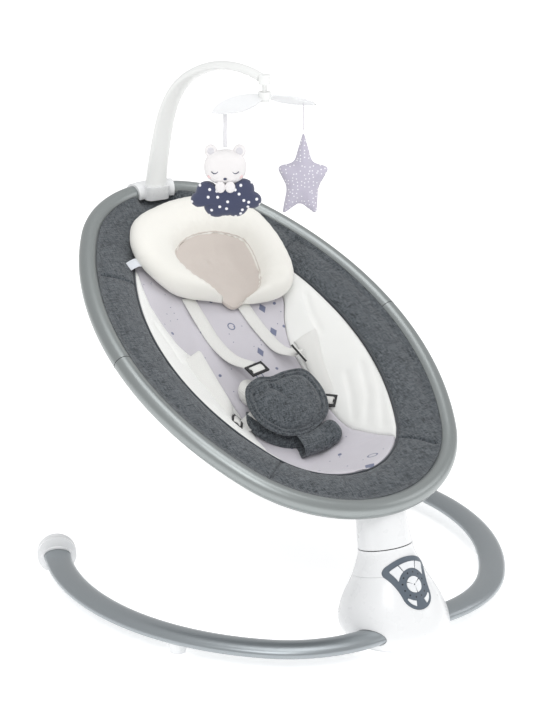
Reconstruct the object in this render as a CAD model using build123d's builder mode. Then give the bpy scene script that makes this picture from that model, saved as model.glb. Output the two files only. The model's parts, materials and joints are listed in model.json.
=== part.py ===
"""Electric baby swing: an egg-shaped seat ring that swings on a leaning post over a low C-shaped stand.

Millimetres. +Z is up, -Y is the front (the drive housing and the seat's foot end), +Y is towards the
baby's head and X = 0 is the mirror plane. The origin is on the floor, under the middle of the housing.
"""
from build123d import *
import os
from math import acos, asin, atan2, cos, degrees, hypot, radians, sin, sqrt, tan

os.makedirs("parts", exist_ok=True)

# ---- driving dimensions -------------------------------------------------------------------------
# seat ring
ring_length = 763
ring_head_radius = 202
ring_foot_radius = 219
ring_side_radius = 534
ring_tube = 29
ring_wall = 1.5
ring_pitch = 27.8
ring_foot_y = 13.2
ring_foot_z = 205.7
ring_seam_place = 385
ring_seam_gap = 0.3
sleeve_length = 50
sleeve_wall = 2

# stand
leg_width = 43
leg_height = 22.5
leg_wall = 2
leg_z = 26.3
leg_line_y = -33
leg_straight = 70
leg_bend_radius = 217
leg_bend_angle = 43.6
leg_sweep_radius = 414
leg_sweep_angle = 72.2
leg_joint_gap = 1
spigot_length = 80
leg_fit = 0.3
cap_radius = 32
cap_centre_z = 30
cap_reach = 18
cap_taper = 14
cap_wall = 3
foot_radius = 12
foot_top_radius = 16
foot_angle_on_leg = -27

# drive housing
housing_floor = 8
housing_wall = 2.5
base_radius = 85
neck_radius = 42
neck_y = 28.5
neck_z = 134.3
axis_lean = 14.9
bell_shape = ((0.00, 0.84), (0.05, 0.96), (0.14, 1.00), (0.27, 0.92), (0.43, 0.72),
              (0.57, 0.49), (0.70, 0.29), (0.86, 0.10), (1.00, 0.00))
collar_height = 37
seam_gap = 0.3
pad_height = 3
pad_radius = 62
plate_inset = 1.5
hole_clearance = 0.6

# chassis, shaft and drive
deck_z = 38.5
deck_thickness = 4
deck_gap = 3
leg_block_width = 80
leg_block_wall = 8
shaft_radius = 8
shaft_running_gap = 0.05
shaft_bottom = 92
shaft_top = 40
bearing_radius = 11
bearing_width = 8
tower_wall = 5
tower_top = 24
tower_bottom = 95
lever_thickness = 6
lever_width = 16
lever_reach = 38
lever_drop = 42
lever_gap = 2.5
hub_wall = 8
magnet_depth = 4
magnet_height = 12
magnet_gap = 1.5
coil_length = 6.5
coil_flange = 1.2
coil_width = 24
coil_height = 20
coil_core = 8
screw_radius = 2
screw_head_radius = 3.5
screw_head_height = 2
pedestal_drop = 12
screw_depth = 14
speaker_radius = 19
speaker_height = 13
speaker_x = -42
speaker_y = 16
jack_z = 52
jack_radius = 6
jack_bore = 2.9
jack_pin = 1
jack_length = 16
jack_floor = 4

# control panel
panel_share = 0.62
panel_slope = 36
panel_crown_radius = 90
panel_corner_radius = 10
panel_corner_x = 28
panel_corner_y = 28
panel_low_radius = 25
panel_low_centre = -13.5
panel_waist_radius = 100
bezel_proud = 1.4
button_proud = 2.2
button_gap = 0.4
button_depth = 11
button_travel = 1
round_button_radius = 12.5
spoke_width = 1.4
round_button_span = 112
panel_reach = 30
button_ring = 25
button_outer = 45
arch_margin = 8.3
arch_gap = 3
arch_span = 47
arch_side_span = 38
low_margin = 4.5
low_angle = 32
low_span = 30
switch_inset = 5
lamp_radius = 1.3
lamp_circle = 19.2
lamp_count = 12
lamp_start = 15
board_width = 52
board_post_x = 23.5
board_post_y = -4
board_height = 66
board_thickness = 1.6
switch_side = 6
switch_height = 3.4

# post and saddle
post_gap = 1.6
post_radius = 41.5
post_top_radius = 38
post_height = 50
post_wall = 3
saddle_height = 50
saddle_margin = 2
frame_screw_spread = 20
frame_screw_place = 8
frame_screw_head = 26
frame_screw_length = 20

# seat upholstery
seat_pad = 16
seat_cloth = 3
cloth_gap = 0.4
rim_gap = 0.3
border_width = 66
seat_sections = ((80, 12, 0), (120, 40, 4), (150, 60, 7), (178, 72, 10))
seat_rim_depth = 3
seat_middle = 380
panel_half_width = 98
pillow_place = 587
pillow_width = 286
pillow_height = 242
pillow_thickness = 40
pillow_lift = 3.8

# harness
strap_width = 25
strap_thickness = 1.6
shoulder_spacing = 92
buckle_place = 282
buckle_depth = 70
buckle_tilt = 20
buckle_width = 52
buckle_length = 40
buckle_thickness = 14
crotch_pad_width = 132
crotch_pad_length = 116
crotch_pad_thickness = 14
adjuster_width = 36
adjuster_length = 22
adjuster_thickness = 3
adjuster_rail = 4
release_travel = 3

# toy bar
bar_foot_inwards = 17.135
bar_foot_rise = 13.447
bar_lean = 9.4
bar_offsets = ((-35, 119), (-105, 196), (-193, 227), (-319, 223))
bar_width = 40
bar_depth = 23
bar_tip_width = 20
bar_tip_depth = 12
plug_width = 28
plug_depth = 10
plug_length = 20
plug_offset = 6
plug_gap = 0.3
socket_wall = 3.5
bracket_length = 76
bracket_wall = 4

# spinner and toys
pin_radius = 4
knuckle_radius = 9.5
knuckle_height = 15
hub_radius = 10
hub_height = 11
hub_rise = 192
blade_length = 90
blade_width = 44
blade_thickness = 2
blade_droop = 13
blade_twist = 20
spinner_turn = -12
hook_radius = 66
hook_gap = 0.1
toy_turn = -35
ribbon_width = 6
ribbon_thickness = 1
ribbon_length = 58
string_radius = 0.8
string_length = 42
head_width = 65
head_height = 50
toy_thickness = 30
cloud_width = 102
cloud_height = 52
cloud_overlap = 6
star_height = 124
star_width = 84

# seat and harness lines, in the ring's directions: across, towards the head and up from its plane
shoulder_top = 500
shoulder_skew = 10
shoulder_line = ((15, 2.2), (-58, 1.6), (-142, 36.5))
hip_across = 119
hip_place = 390
waist_end_across = 97
waist_end_place = 295.8
waist_lift = 3.6
waist_adjuster_across = 88
waist_adjuster_place = 281
waist_adjuster_lift = 4.4
waist_adjuster_turn = 50
inner_waist_lift = 4.6
loose_adjuster_turn = 45
loose_adjuster_dip = 40
loose_adjuster_bank = 28
loose_adjuster_lift = 2.3
crotch_line = ((229, 1.9), (243, 8.2), (259.4, 21.2))
crotch_strap_width = 40
crotch_pad_corner = 40
buckle_corner = 8
release_radius = 12
sleeve_pad_place = 201
sleeve_pad_length = 48
sleeve_pad_width = 100
sleeve_pad_thickness = 15
tag_place = 590
tag_level = 4
tag_length = 14
tag_width = 18
tag_thickness = 1.2

# toy details
bar_stations = 10
pin_reach = 326
knuckle_rise = 222
ear_spread = 20
ear_rise = 22
ear_radius = 9
cloud_puffs = ((-30, 8, 18), (0, 0, 24), (30, 10, 17), (-14, -8, 19), (16, -8, 19))
star_corners = ((0, -0.088), (0.28, 0.36), (1, 0.38), (0.52, 0.62), (0.66, 1), (0, 0.82), (-0.66, 1),
                (-0.52, 0.62), (-1, 0.38), (-0.28, 0.36))
star_round = 3

# ---- planes and derived places ------------------------------------------------------------------
pitch = radians(ring_pitch)
lean = radians(axis_lean)
slope = radians(panel_slope)
ring_plane = Plane(origin=(0, ring_foot_y, ring_foot_z), x_dir=(1, 0, 0), z_dir=(0, -sin(pitch), cos(pitch)))
axis_plane = Plane(origin=(0, neck_y, neck_z), x_dir=(1, 0, 0), z_dir=(0, sin(lean), cos(lean)))
tube_radius = ring_tube / 2
head_centre = ring_length - ring_head_radius
foot_centre = ring_foot_radius
centre_span = head_centre - foot_centre
foot_reach = ring_side_radius - ring_foot_radius
head_reach = ring_side_radius - ring_head_radius
side_rise = (foot_reach**2 - head_reach**2 + centre_span**2) / (2 * centre_span)
side_x = sqrt(foot_reach**2 - side_rise**2)
side_y = foot_centre + side_rise
head_angle = degrees(atan2(head_centre - side_y, side_x))
foot_angle = degrees(atan2(foot_centre - side_y, side_x))
seam_angle = degrees(asin((ring_seam_place - side_y) / ring_side_radius))
bend = radians(leg_bend_angle)
leg_bend_centre = (leg_straight, leg_line_y + leg_bend_radius)
leg_sweep_centre = (leg_bend_centre[0] + (leg_bend_radius - leg_sweep_radius) * sin(bend),
                    leg_bend_centre[1] - (leg_bend_radius - leg_sweep_radius) * cos(bend))
leg_end_angle = leg_bend_angle - 90 + leg_sweep_angle
seam_plane = axis_plane.offset(-collar_height)
deck_top = deck_z + deck_thickness


def housing_plane(share):
    """The housing's level at a share of its height: flat at the floor, leaning like the neck at the top"""
    tilt = share * lean
    return Plane(origin=(0, share * neck_y, housing_floor + share * (neck_z - housing_floor)),
                 x_dir=(1, 0, 0), z_dir=(0, sin(tilt), cos(tilt)))


def housing_radius(share):
    """The housing's radius at a share of its height, between two of its levels"""
    low, high = [pair for pair in zip(bell_shape, bell_shape[1:]) if pair[0][0] <= share <= pair[1][0]][-1]
    part_way = (share - low[0]) / (high[0] - low[0])
    return neck_radius + (base_radius - neck_radius) * (low[1] + part_way * (high[1] - low[1]))


crown_drop = sqrt((panel_crown_radius - panel_corner_radius)**2 - panel_corner_x**2)
crown_angle = degrees(asin(panel_corner_x / (panel_crown_radius - panel_corner_radius)))
panel_span = sqrt(panel_corner_x**2 + (panel_corner_y - panel_low_centre)**2)
waist_to_corner = panel_corner_radius + panel_waist_radius
waist_to_low = panel_low_radius + panel_waist_radius
waist_turn = acos((waist_to_low**2 + panel_span**2 - waist_to_corner**2) / (2 * waist_to_low * panel_span))
waist_lean = atan2(panel_corner_y - panel_low_centre, panel_corner_x) - waist_turn
waist_x = waist_to_low * cos(waist_lean)
waist_y = panel_low_centre + waist_to_low * sin(waist_lean)
waist_low_angle = degrees(waist_lean)
waist_corner_angle = degrees(atan2(waist_y - panel_corner_y, waist_x - panel_corner_x))
panel_front = housing_plane(panel_share).from_local_coords(Vector(0, -housing_radius(panel_share), 0))
panel_plane = Plane(origin=panel_front, x_dir=(1, 0, 0), z_dir=(0, -cos(slope), sin(slope)))


long_plane = Plane(origin=ring_plane.origin, x_dir=ring_plane.y_dir, z_dir=(1, 0, 0))
bar_turn = radians(bar_lean)
ring_top = ring_plane.from_local_coords(Vector(0, ring_length, 0))
bar_foot_y = ring_top.Y - bar_foot_inwards
bar_foot_z = ring_top.Z + bar_foot_rise
bar_points = [(bar_foot_y + back, bar_foot_z + rise) for back, rise in bar_offsets]
pin_y = bar_foot_y - pin_reach
hub_z = bar_foot_z + hub_rise
knuckle_z = bar_foot_z + knuckle_rise
bar_plane = Plane(origin=(0, bar_foot_y, bar_foot_z), x_dir=(1, 0, 0),
                  z_dir=(0, -sin(bar_turn), cos(bar_turn)))
tag_x = pillow_width / 2 + rim_gap + tag_length / 2


def cross_plane(place):
    """A plane across the seat at a place along its length, its Y pointing up from the ring's plane"""
    return Plane(origin=ring_plane.from_local_coords(Vector(0, place, 0)), x_dir=(1, 0, 0),
                 z_dir=-ring_plane.y_dir)


def pad_level(across, place):
    """Height of the pads' upper face over the ring's plane, between the seat's sections"""
    turn = degrees(atan2(place - side_y, abs(across) + side_x))
    if turn > head_angle:
        inset = ring_head_radius - hypot(across, place - head_centre)
    elif turn < foot_angle:
        inset = ring_foot_radius - hypot(across, place - foot_centre)
    else:
        inset = ring_side_radius - hypot(abs(across) + side_x, place - side_y)
    levels = [(edge, (place - seat_middle) * tan(radians(tip)) - depth)
              for edge, depth, tip in seat_sections]
    levels = [(tube_radius, -seat_rim_depth), *levels, (ring_head_radius, levels[-1][1])]
    low, high = [pair for pair in zip(levels, levels[1:]) if pair[0][0] <= inset][-1]
    return low[1] + (inset - low[0]) / (high[0] - low[0]) * (high[1] - low[1])


def pad_point(across, place, lift):
    """A point over the pads"""
    return ring_plane.from_local_coords(Vector(across, place, pad_level(across, place) + lift))


def shoulder_points(side):
    """One shoulder strap's line in its own plane: run along it and height over the ring's plane"""
    skew = radians(shoulder_skew)
    return [(run, lift + pad_level(side * shoulder_spacing / 2 - run * sin(skew),
                                   shoulder_top + run * cos(skew))) for run, lift in shoulder_line]


def shoulder_plane(side):
    """The upright plane that holds one shoulder strap's line"""
    skew = radians(shoulder_skew)
    along = ring_plane.x_dir * -sin(skew) + ring_plane.y_dir * cos(skew)
    across = ring_plane.x_dir * cos(skew) + ring_plane.y_dir * sin(skew)
    return Plane(origin=ring_plane.from_local_coords(Vector(side * shoulder_spacing / 2, shoulder_top, 0)),
                 x_dir=along, z_dir=across)


def pad_normal(across, place):
    """The pads' own up direction, over the width of a strap"""
    half = strap_width / 2
    sideways = pad_point(across + half, place, 0) - pad_point(across - half, place, 0)
    lengthways = pad_point(across, place + half, 0) - pad_point(across, place - half, 0)
    return sideways.cross(lengthways).normalized()


def waist_plane(side):
    """The banked plane that one outer waist strap lies in: down the side pad from the hip"""
    start = pad_point(side * hip_across, hip_place, waist_lift)
    end = pad_point(side * waist_end_across, waist_end_place, waist_lift)
    sideways = pad_normal(side * (hip_across + waist_end_across) / 2, (hip_place + waist_end_place) / 2)
    along = end - start
    return Plane(origin=(start + end) / 2, x_dir=along, z_dir=along.cross(sideways.cross(along)))


def adjuster_planes():
    """Where the four strap adjusters lie: two at the shoulder straps' ends and two in the waist straps"""
    turn = radians(waist_adjuster_turn)
    for side in (-1, 1):
        across = side * waist_adjuster_across
        yield Plane(origin=pad_point(across, waist_adjuster_place, waist_adjuster_lift),
                    x_dir=ring_plane.x_dir * -side * sin(turn) - ring_plane.y_dir * cos(turn),
                    z_dir=pad_normal(across, waist_adjuster_place))
    reach = strap_thickness / 2 + rim_gap + adjuster_length / 2
    run, level = shoulder_points(-1)[-1]
    yield Plane(origin=shoulder_plane(-1).from_local_coords(Vector(run - reach, level, 0)),
                x_dir=shoulder_plane(-1).x_dir, z_dir=ring_plane.z_dir)
    run, level = shoulder_points(1)[-1]
    turn, dip, bank = (radians(a) for a in (loose_adjuster_turn, loose_adjuster_dip, loose_adjuster_bank))
    level_way = ring_plane.x_dir * sin(turn) + ring_plane.y_dir * cos(turn)
    side_way = ring_plane.x_dir * cos(turn) - ring_plane.y_dir * sin(turn)
    strap_way = level_way * cos(dip) - ring_plane.z_dir * sin(dip)
    upright = level_way * sin(dip) + ring_plane.z_dir * cos(dip)
    rail = shoulder_plane(1).from_local_coords(Vector(run, level + loose_adjuster_lift, 0))
    yield Plane(origin=rail - strap_way * adjuster_length / 2, x_dir=strap_way,
                z_dir=upright * cos(bank) + side_way * sin(bank))


def blade_plane(side):
    """One spinner blade's plane: turned with the spinner, drooping outwards and twisted like a propeller"""
    turn = radians(spinner_turn + (0 if side > 0 else 180))
    droop = radians(blade_droop)
    twist = radians(blade_twist)
    outward = Vector(cos(turn) * cos(droop), sin(turn) * cos(droop), -sin(droop))
    across = Vector(-sin(turn), cos(turn), 0)
    normal = outward.cross(across) * cos(twist) + across * sin(twist)
    return Plane(origin=(0, pin_y, hub_z + hub_height / 2), x_dir=outward, z_dir=normal)


def toy_plane(side):
    """The upright plane of one hanging toy, its origin at the toy's hook under a blade"""
    turn = radians(spinner_turn)
    face = radians(toy_turn)
    hook_z = hub_z + hub_height / 2 - hook_radius * tan(radians(blade_droop)) - blade_thickness - hook_gap
    hook = (side * hook_radius * cos(turn), pin_y + side * hook_radius * sin(turn), hook_z)
    return Plane(origin=hook, x_dir=(cos(face), sin(face), 0), z_dir=(sin(face), -cos(face), 0))


# ---- shapes used by several pieces ----------------------------------------------------------------
def finish(piece, name):
    """Label a finished piece and write it"""
    piece.part.label = name
    export_step(piece.part, f"parts/{name}.step")


def egg(inset, slide=0):
    """The ring's outline, moved inwards by inset: a head arc, a foot arc and two side arcs"""
    side_sweep = head_angle - foot_angle
    CenterArc((0, head_centre - slide), ring_head_radius - inset, head_angle, 180 - 2 * head_angle)
    CenterArc((-side_x, side_y - slide), ring_side_radius - inset, foot_angle, side_sweep)
    CenterArc((side_x, side_y - slide), ring_side_radius - inset, 180 - head_angle, side_sweep)
    CenterArc((0, foot_centre - slide), ring_foot_radius - inset, 180 - foot_angle, 180 + 2 * foot_angle)


def egg_block(inset, low, high, mode):
    """An egg-shaped block between two heights over the ring's plane"""
    with BuildSketch(ring_plane.offset(low)) as outline:
        with BuildLine():
            egg(inset)
        make_face()
    extrude(outline.sketch, amount=high - low, mode=mode)


def bowl(thickness, edge, top, mode=Mode.ADD):
    """The seat's hollow, let down by a thickness: a stack of eggs that tip towards the foot end"""
    levels = []
    for inset, depth, tip in ((edge, seat_rim_depth, 0), *seat_sections):
        level = ring_plane.offset(-depth - thickness)
        middle = level.from_local_coords(Vector(0, seat_middle, 0))
        normal = Vector(0, -sin(pitch + radians(tip)), cos(pitch + radians(tip)))
        with BuildSketch(Plane(origin=middle, x_dir=(1, 0, 0), z_dir=normal)) as outline:
            with BuildLine():
                egg(inset, seat_middle)
            make_face()
        levels.append(outline.sketch)
    loft(levels, ruled=True, mode=mode)
    egg_block(edge, -seat_rim_depth - thickness, top, mode)


def bell(grow, mode=Mode.ADD):
    """The housing's outer form, grown by a wall or a clearance"""
    levels = []
    for share, spread in bell_shape:
        with BuildSketch(housing_plane(share)) as level:
            Circle(neck_radius + (base_radius - neck_radius) * spread + grow)
        levels.append(level.sketch)
    loft(levels, mode=mode)


def leg_line(side, start):
    """Centre line of one leg: straight in the housing, a tight bend, then a wide one"""
    Line((side * start, leg_line_y), (side * leg_straight, leg_line_y))
    for centre, radius, begin, size in ((leg_bend_centre, leg_bend_radius, -90, leg_bend_angle),
                                        (leg_sweep_centre, leg_sweep_radius, leg_bend_angle - 90,
                                         leg_sweep_angle)):
        CenterArc((side * centre[0], centre[1]), radius, begin if side > 0 else 180 - begin, side * size)


def leg_solid(side, grow, mode=Mode.ADD):
    """A leg's oval, grown by a clearance and swept along its line"""
    with BuildLine(Plane.XY.offset(leg_z)) as line:
        leg_line(side, leg_joint_gap)
    with BuildSketch(Plane(origin=(side * leg_joint_gap, leg_line_y, leg_z), x_dir=(0, 1, 0),
                           z_dir=(side, 0, 0))) as oval:
        Ellipse(leg_width / 2 + grow, leg_height / 2 + grow)
    sweep(oval.sketch, path=line.line, mode=mode)


def ring_line(low_angle, whole):
    """Part of the ring's centre line: round the head when whole is 1, round the foot when it is -1"""
    side_span = (head_angle - low_angle) if whole > 0 else (low_angle - foot_angle)
    if whole > 0:
        CenterArc((-side_x, side_y), ring_side_radius, low_angle, side_span)
        CenterArc((0, head_centre), ring_head_radius, head_angle, 180 - 2 * head_angle)
        CenterArc((side_x, side_y), ring_side_radius, 180 - head_angle, side_span)
    else:
        CenterArc((side_x, side_y), ring_side_radius, 180 - low_angle, side_span)
        CenterArc((0, foot_centre), ring_foot_radius, 180 - foot_angle, 180 + 2 * foot_angle)
        CenterArc((-side_x, side_y), ring_side_radius, foot_angle, side_span)


def ring_solid(angle, whole, radius, mode=Mode.ADD):
    """A round bar swept along part of the ring"""
    with BuildLine(ring_plane) as line:
        ring_line(angle, whole)
    with BuildSketch(Plane(origin=line.line @ 0, z_dir=line.line % 0)) as section:
        Circle(radius)
    sweep(section.sketch, path=line.line, mode=mode)


def bracket_block(grow, mode):
    """The toy bar's socket block beside the ring, grown by a clearance"""
    with BuildSketch(bar_plane.offset(-plug_length - socket_wall - grow)) as outline:
        RectangleRounded(bar_width + 2 * (socket_wall + grow), bar_depth + 2 * (socket_wall + grow),
                         bar_depth / 2)
    extrude(outline.sketch, amount=plug_length + socket_wall + 2 * grow, mode=mode)


def panel_outline(grow):
    """The control panel's outline: a broad arched top with round corners, narrowing to a round end"""
    corner_sweep = 90 - crown_angle - waist_corner_angle
    waist_sweep = waist_low_angle - waist_corner_angle
    with BuildLine() as outline:
        CenterArc((0, panel_corner_y - crown_drop), panel_crown_radius + grow, 90 - crown_angle,
                  2 * crown_angle)
        CenterArc((panel_corner_x, panel_corner_y), panel_corner_radius + grow, waist_corner_angle,
                  corner_sweep)
        CenterArc((-panel_corner_x, panel_corner_y), panel_corner_radius + grow, 90 + crown_angle,
                  corner_sweep)
        CenterArc((0, panel_low_centre), panel_low_radius + grow, 180 - waist_low_angle,
                  180 + 2 * waist_low_angle)
        CenterArc((waist_x, waist_y), panel_waist_radius - grow, 180 + waist_corner_angle, waist_sweep)
        CenterArc((-waist_x, waist_y), panel_waist_radius - grow, -waist_low_angle, waist_sweep)
    make_face(outline.edges())


def button_outline(inner, outer, middle, span, margin):
    """Part of a flat ring between two radii, kept within a margin of the panel's edge"""
    with BuildSketch(mode=Mode.PRIVATE) as sector:
        with BuildLine() as edge:
            far = CenterArc((0, 0), outer, middle - span / 2, span)
            near = CenterArc((0, 0), inner, middle - span / 2, span)
            Line(far @ 0, near @ 0)
            Line(far @ 1, near @ 1)
        make_face(edge.edges())
    panel_outline(-margin)
    add(sector.sketch, mode=Mode.INTERSECT)


# Each button's outline: inner radius, outer radius, middle angle, span and margin to the panel's edge
arch_pitch = (arch_span + arch_side_span) / 2 + arch_gap
round_outline = (spoke_width, round_button_radius)
button_outlines = {
    "left_arch_button": (button_ring, button_outer, 90 + arch_pitch, arch_side_span, arch_margin),
    "middle_arch_button": (button_ring, button_outer, 90, arch_span, arch_margin),
    "right_arch_button": (button_ring, button_outer, 90 - arch_pitch, arch_side_span, arch_margin),
    "upper_round_button": (*round_outline, 90, round_button_span, arch_margin),
    "left_round_button": (*round_outline, 210, round_button_span, arch_margin),
    "right_round_button": (*round_outline, 330, round_button_span, arch_margin),
    "left_low_button": (button_ring, button_outer, -90 - low_angle, low_span, low_margin),
    "right_low_button": (button_ring, button_outer, -90 + low_angle, low_span, low_margin),
}


# ---- stand ----------------------------------------------------------------------------------------
with BuildPart() as floor_pad:
    with BuildSketch():
        Circle(pad_radius)
    extrude(amount=pad_height)
finish(floor_pad, "floor_pad")

plate_radius = neck_radius + (base_radius - neck_radius) * bell_shape[0][1] - plate_inset
screw_places = ((-32, 40), (32, 40), (-30, -60), (30, -60))

with BuildPart() as base_plate:
    with BuildSketch(Plane.XY.offset(pad_height)):
        Circle(plate_radius)
    extrude(amount=housing_floor - pad_height)
    fillet(base_plate.edges().group_by(Axis.Z)[0], 2)
    with Locations(*[Location((x, y, pad_height + screw_head_height), (180, 0, 0))
                     for x, y in screw_places]):
        Hole(screw_radius)
    with BuildSketch(Plane.XY.offset(pad_height)):
        with Locations(*screw_places):
            Circle(screw_head_radius)
    extrude(amount=screw_head_height, mode=Mode.SUBTRACT)
finish(base_plate, "base_plate")

for side, hand in ((1, "right"), (-1, "left")):
    with BuildPart() as leg:
        leg_solid(side, 0)
        leg_solid(side, -leg_wall, Mode.SUBTRACT)
    finish(leg, f"{hand}_leg")

    end_turn = radians(leg_end_angle)
    end_x = leg_sweep_centre[0] + leg_sweep_radius * cos(end_turn)
    end_y = leg_sweep_centre[1] + leg_sweep_radius * sin(end_turn)
    leg_way = Vector(-side * sin(end_turn), cos(end_turn), 0)
    leg_end = Vector(side * end_x, end_y, leg_z)
    mouth_plane = Plane(origin=leg_end - leg_way * cap_reach, x_dir=Vector(0, 0, 1).cross(leg_way),
                        z_dir=leg_way)
    ball_plane = mouth_plane.offset(cap_taper).move(Location((0, 0, cap_centre_z - leg_z)))
    with BuildPart() as end_cap:
        with BuildSketch(mouth_plane):
            Ellipse(leg_width / 2 + cap_wall, leg_height / 2 + cap_wall)
        with BuildSketch(ball_plane):
            Circle(cap_radius)
        loft()
        with Locations(ball_plane):
            Sphere(cap_radius, arc_size1=0)
        split(bisect_by=Plane.XY, keep=Keep.TOP)
        leg_solid(side, leg_fit, Mode.SUBTRACT)
    finish(end_cap, f"{hand}_end_cap")

with BuildPart() as leg_feet:
    foot_turn = radians(foot_angle_on_leg)
    foot_x = leg_sweep_centre[0] + leg_sweep_radius * cos(foot_turn)
    foot_y = leg_sweep_centre[1] + leg_sweep_radius * sin(foot_turn)
    for side in (-1, 1):
        with BuildSketch(Plane(origin=(side * foot_x, foot_y, 0))):
            Circle(foot_radius)
        with BuildSketch(Plane(origin=(side * foot_x, foot_y, leg_z - leg_height / 4))):
            Circle(foot_top_radius)
        loft()
    leg_solid(1, 0, Mode.SUBTRACT)
    leg_solid(-1, 0, Mode.SUBTRACT)
finish(leg_feet, "leg_feet")

with BuildPart() as leg_spigot:
    with BuildSketch(Plane(origin=(-spigot_length / 2, leg_line_y, leg_z), x_dir=(0, 1, 0),
                           z_dir=(1, 0, 0))):
        Ellipse(leg_width / 2 - leg_wall, leg_height / 2 - leg_wall)
        Ellipse(leg_width / 2 - 2 * leg_wall, leg_height / 2 - 2 * leg_wall, mode=Mode.SUBTRACT)
    extrude(amount=spigot_length)
finish(leg_spigot, "leg_spigot")

# ---- drive housing --------------------------------------------------------------------------------
jack_rear = (jack_z - housing_floor) / (neck_z - housing_floor) * neck_y
with BuildPart() as housing_shell:
    bell(0)
    bell(-housing_wall, Mode.SUBTRACT)
    split(bisect_by=seam_plane, keep=Keep.BOTTOM)
    leg_solid(1, hole_clearance, Mode.SUBTRACT)
    leg_solid(-1, hole_clearance, Mode.SUBTRACT)
    with BuildSketch(panel_plane.offset(-panel_reach)):
        panel_outline(seam_gap)
    extrude(amount=2 * panel_reach, mode=Mode.SUBTRACT)
    with BuildSketch(Plane(origin=(0, jack_rear, jack_z), x_dir=(-1, 0, 0), z_dir=(0, 1, 0))):
        Circle(jack_radius)
    extrude(amount=base_radius, mode=Mode.SUBTRACT)
finish(housing_shell, "housing_shell")

with BuildPart() as housing_collar:
    bell(0)
    bell(-housing_wall, Mode.SUBTRACT)
    split(bisect_by=seam_plane.offset(seam_gap), keep=Keep.TOP)
    with BuildSketch(panel_plane.offset(-panel_reach)):
        panel_outline(seam_gap)
    extrude(amount=2 * panel_reach, mode=Mode.SUBTRACT)
finish(housing_collar, "housing_collar")

board_plane = panel_plane.offset(-button_depth - button_travel - seam_gap - switch_height)
with BuildPart() as control_bezel:
    bell(bezel_proud)
    bell(-housing_wall, Mode.SUBTRACT)
    with BuildSketch(panel_plane.offset(-panel_reach)):
        panel_outline(0)
    extrude(amount=2 * panel_reach, mode=Mode.INTERSECT)
    for outline_values in button_outlines.values():
        with BuildSketch(panel_plane.offset(-panel_reach)):
            button_outline(*outline_values)
            offset(amount=button_gap)
        extrude(amount=2 * panel_reach, mode=Mode.SUBTRACT)
    with BuildSketch(panel_plane.offset(-panel_reach)):
        Circle(round_button_radius + button_gap)
        with PolarLocations(lamp_circle, lamp_count, start_angle=lamp_start):
            Circle(lamp_radius)
    extrude(amount=2 * panel_reach, mode=Mode.SUBTRACT)
    with BuildSketch(board_plane):
        with Locations((-board_post_x, board_post_y), (board_post_x, board_post_y)):
            Circle(screw_radius)
    extrude(amount=button_depth)
finish(control_bezel, "control_bezel")

with BuildPart() as indicator_lamps:
    bell(bezel_proud)
    bell(-housing_wall, Mode.SUBTRACT)
    with BuildSketch(panel_plane.offset(-panel_reach)):
        with PolarLocations(lamp_circle, lamp_count, start_angle=lamp_start):
            Circle(lamp_radius)
    extrude(amount=2 * panel_reach, mode=Mode.INTERSECT)
finish(indicator_lamps, "indicator_lamps")

for name, outline_values in button_outlines.items():
    with BuildPart() as button:
        bell(button_proud)
        with BuildSketch(panel_plane.offset(-button_depth)):
            button_outline(*outline_values)
        extrude(amount=button_depth + panel_reach, mode=Mode.INTERSECT)
    finish(button, name)

with BuildPart() as circuit_board:
    with BuildSketch(board_plane.offset(-board_thickness)):
        Rectangle(board_width, board_height)
    extrude(amount=board_thickness)
    with BuildSketch(board_plane):
        for inner, _, middle, *_ in button_outlines.values():
            with PolarLocations(inner + switch_inset, 1, start_angle=middle):
                Rectangle(switch_side, switch_side)
    extrude(amount=switch_height)
finish(circuit_board, "circuit_board")

with BuildPart() as speaker:
    with BuildSketch(Plane.XY.offset(deck_top)):
        with Locations((speaker_x, speaker_y)):
            Circle(speaker_radius)
    extrude(amount=speaker_height / 2)
    with BuildSketch(Plane.XY.offset(deck_top + speaker_height / 2)):
        with Locations((speaker_x, speaker_y)):
            Circle(speaker_radius / 2)
    extrude(amount=speaker_height / 2)
finish(speaker, "speaker")

jack_plane = Plane(origin=(0, jack_rear, jack_z), x_dir=(-1, 0, 0), z_dir=(0, 1, 0))
with BuildPart() as dc_inlet:
    bell(bezel_proud)
    with BuildSketch(jack_plane):
        Circle(jack_radius - seam_gap)
    extrude(amount=base_radius, mode=Mode.INTERSECT)
    jack_face = dc_inlet.faces().sort_by(Axis.Y)[-1].center().Y
    split(bisect_by=Plane.XZ.offset(jack_length - jack_face), keep=Keep.BOTTOM)
    with BuildSketch(Plane(origin=(0, jack_face - jack_length + jack_floor, jack_z), x_dir=(-1, 0, 0),
                           z_dir=(0, 1, 0))):
        Circle(jack_bore)
        Circle(jack_pin, mode=Mode.SUBTRACT)
    extrude(amount=jack_length, mode=Mode.SUBTRACT)
finish(dc_inlet, "dc_inlet")

# ---- chassis, bearings and drive --------------------------------------------------------------------
deck_share = (deck_z - housing_floor) / (neck_z - housing_floor)
deck_radius = housing_radius(deck_share) - housing_wall - deck_gap
tower_radius = bearing_radius + tower_wall
block_height = deck_z - housing_floor
coil_place = lever_reach + magnet_depth + magnet_gap
coil_middle = lever_drop + tower_top - magnet_height / 2
pedestal_top = coil_middle + coil_height / 2

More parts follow.
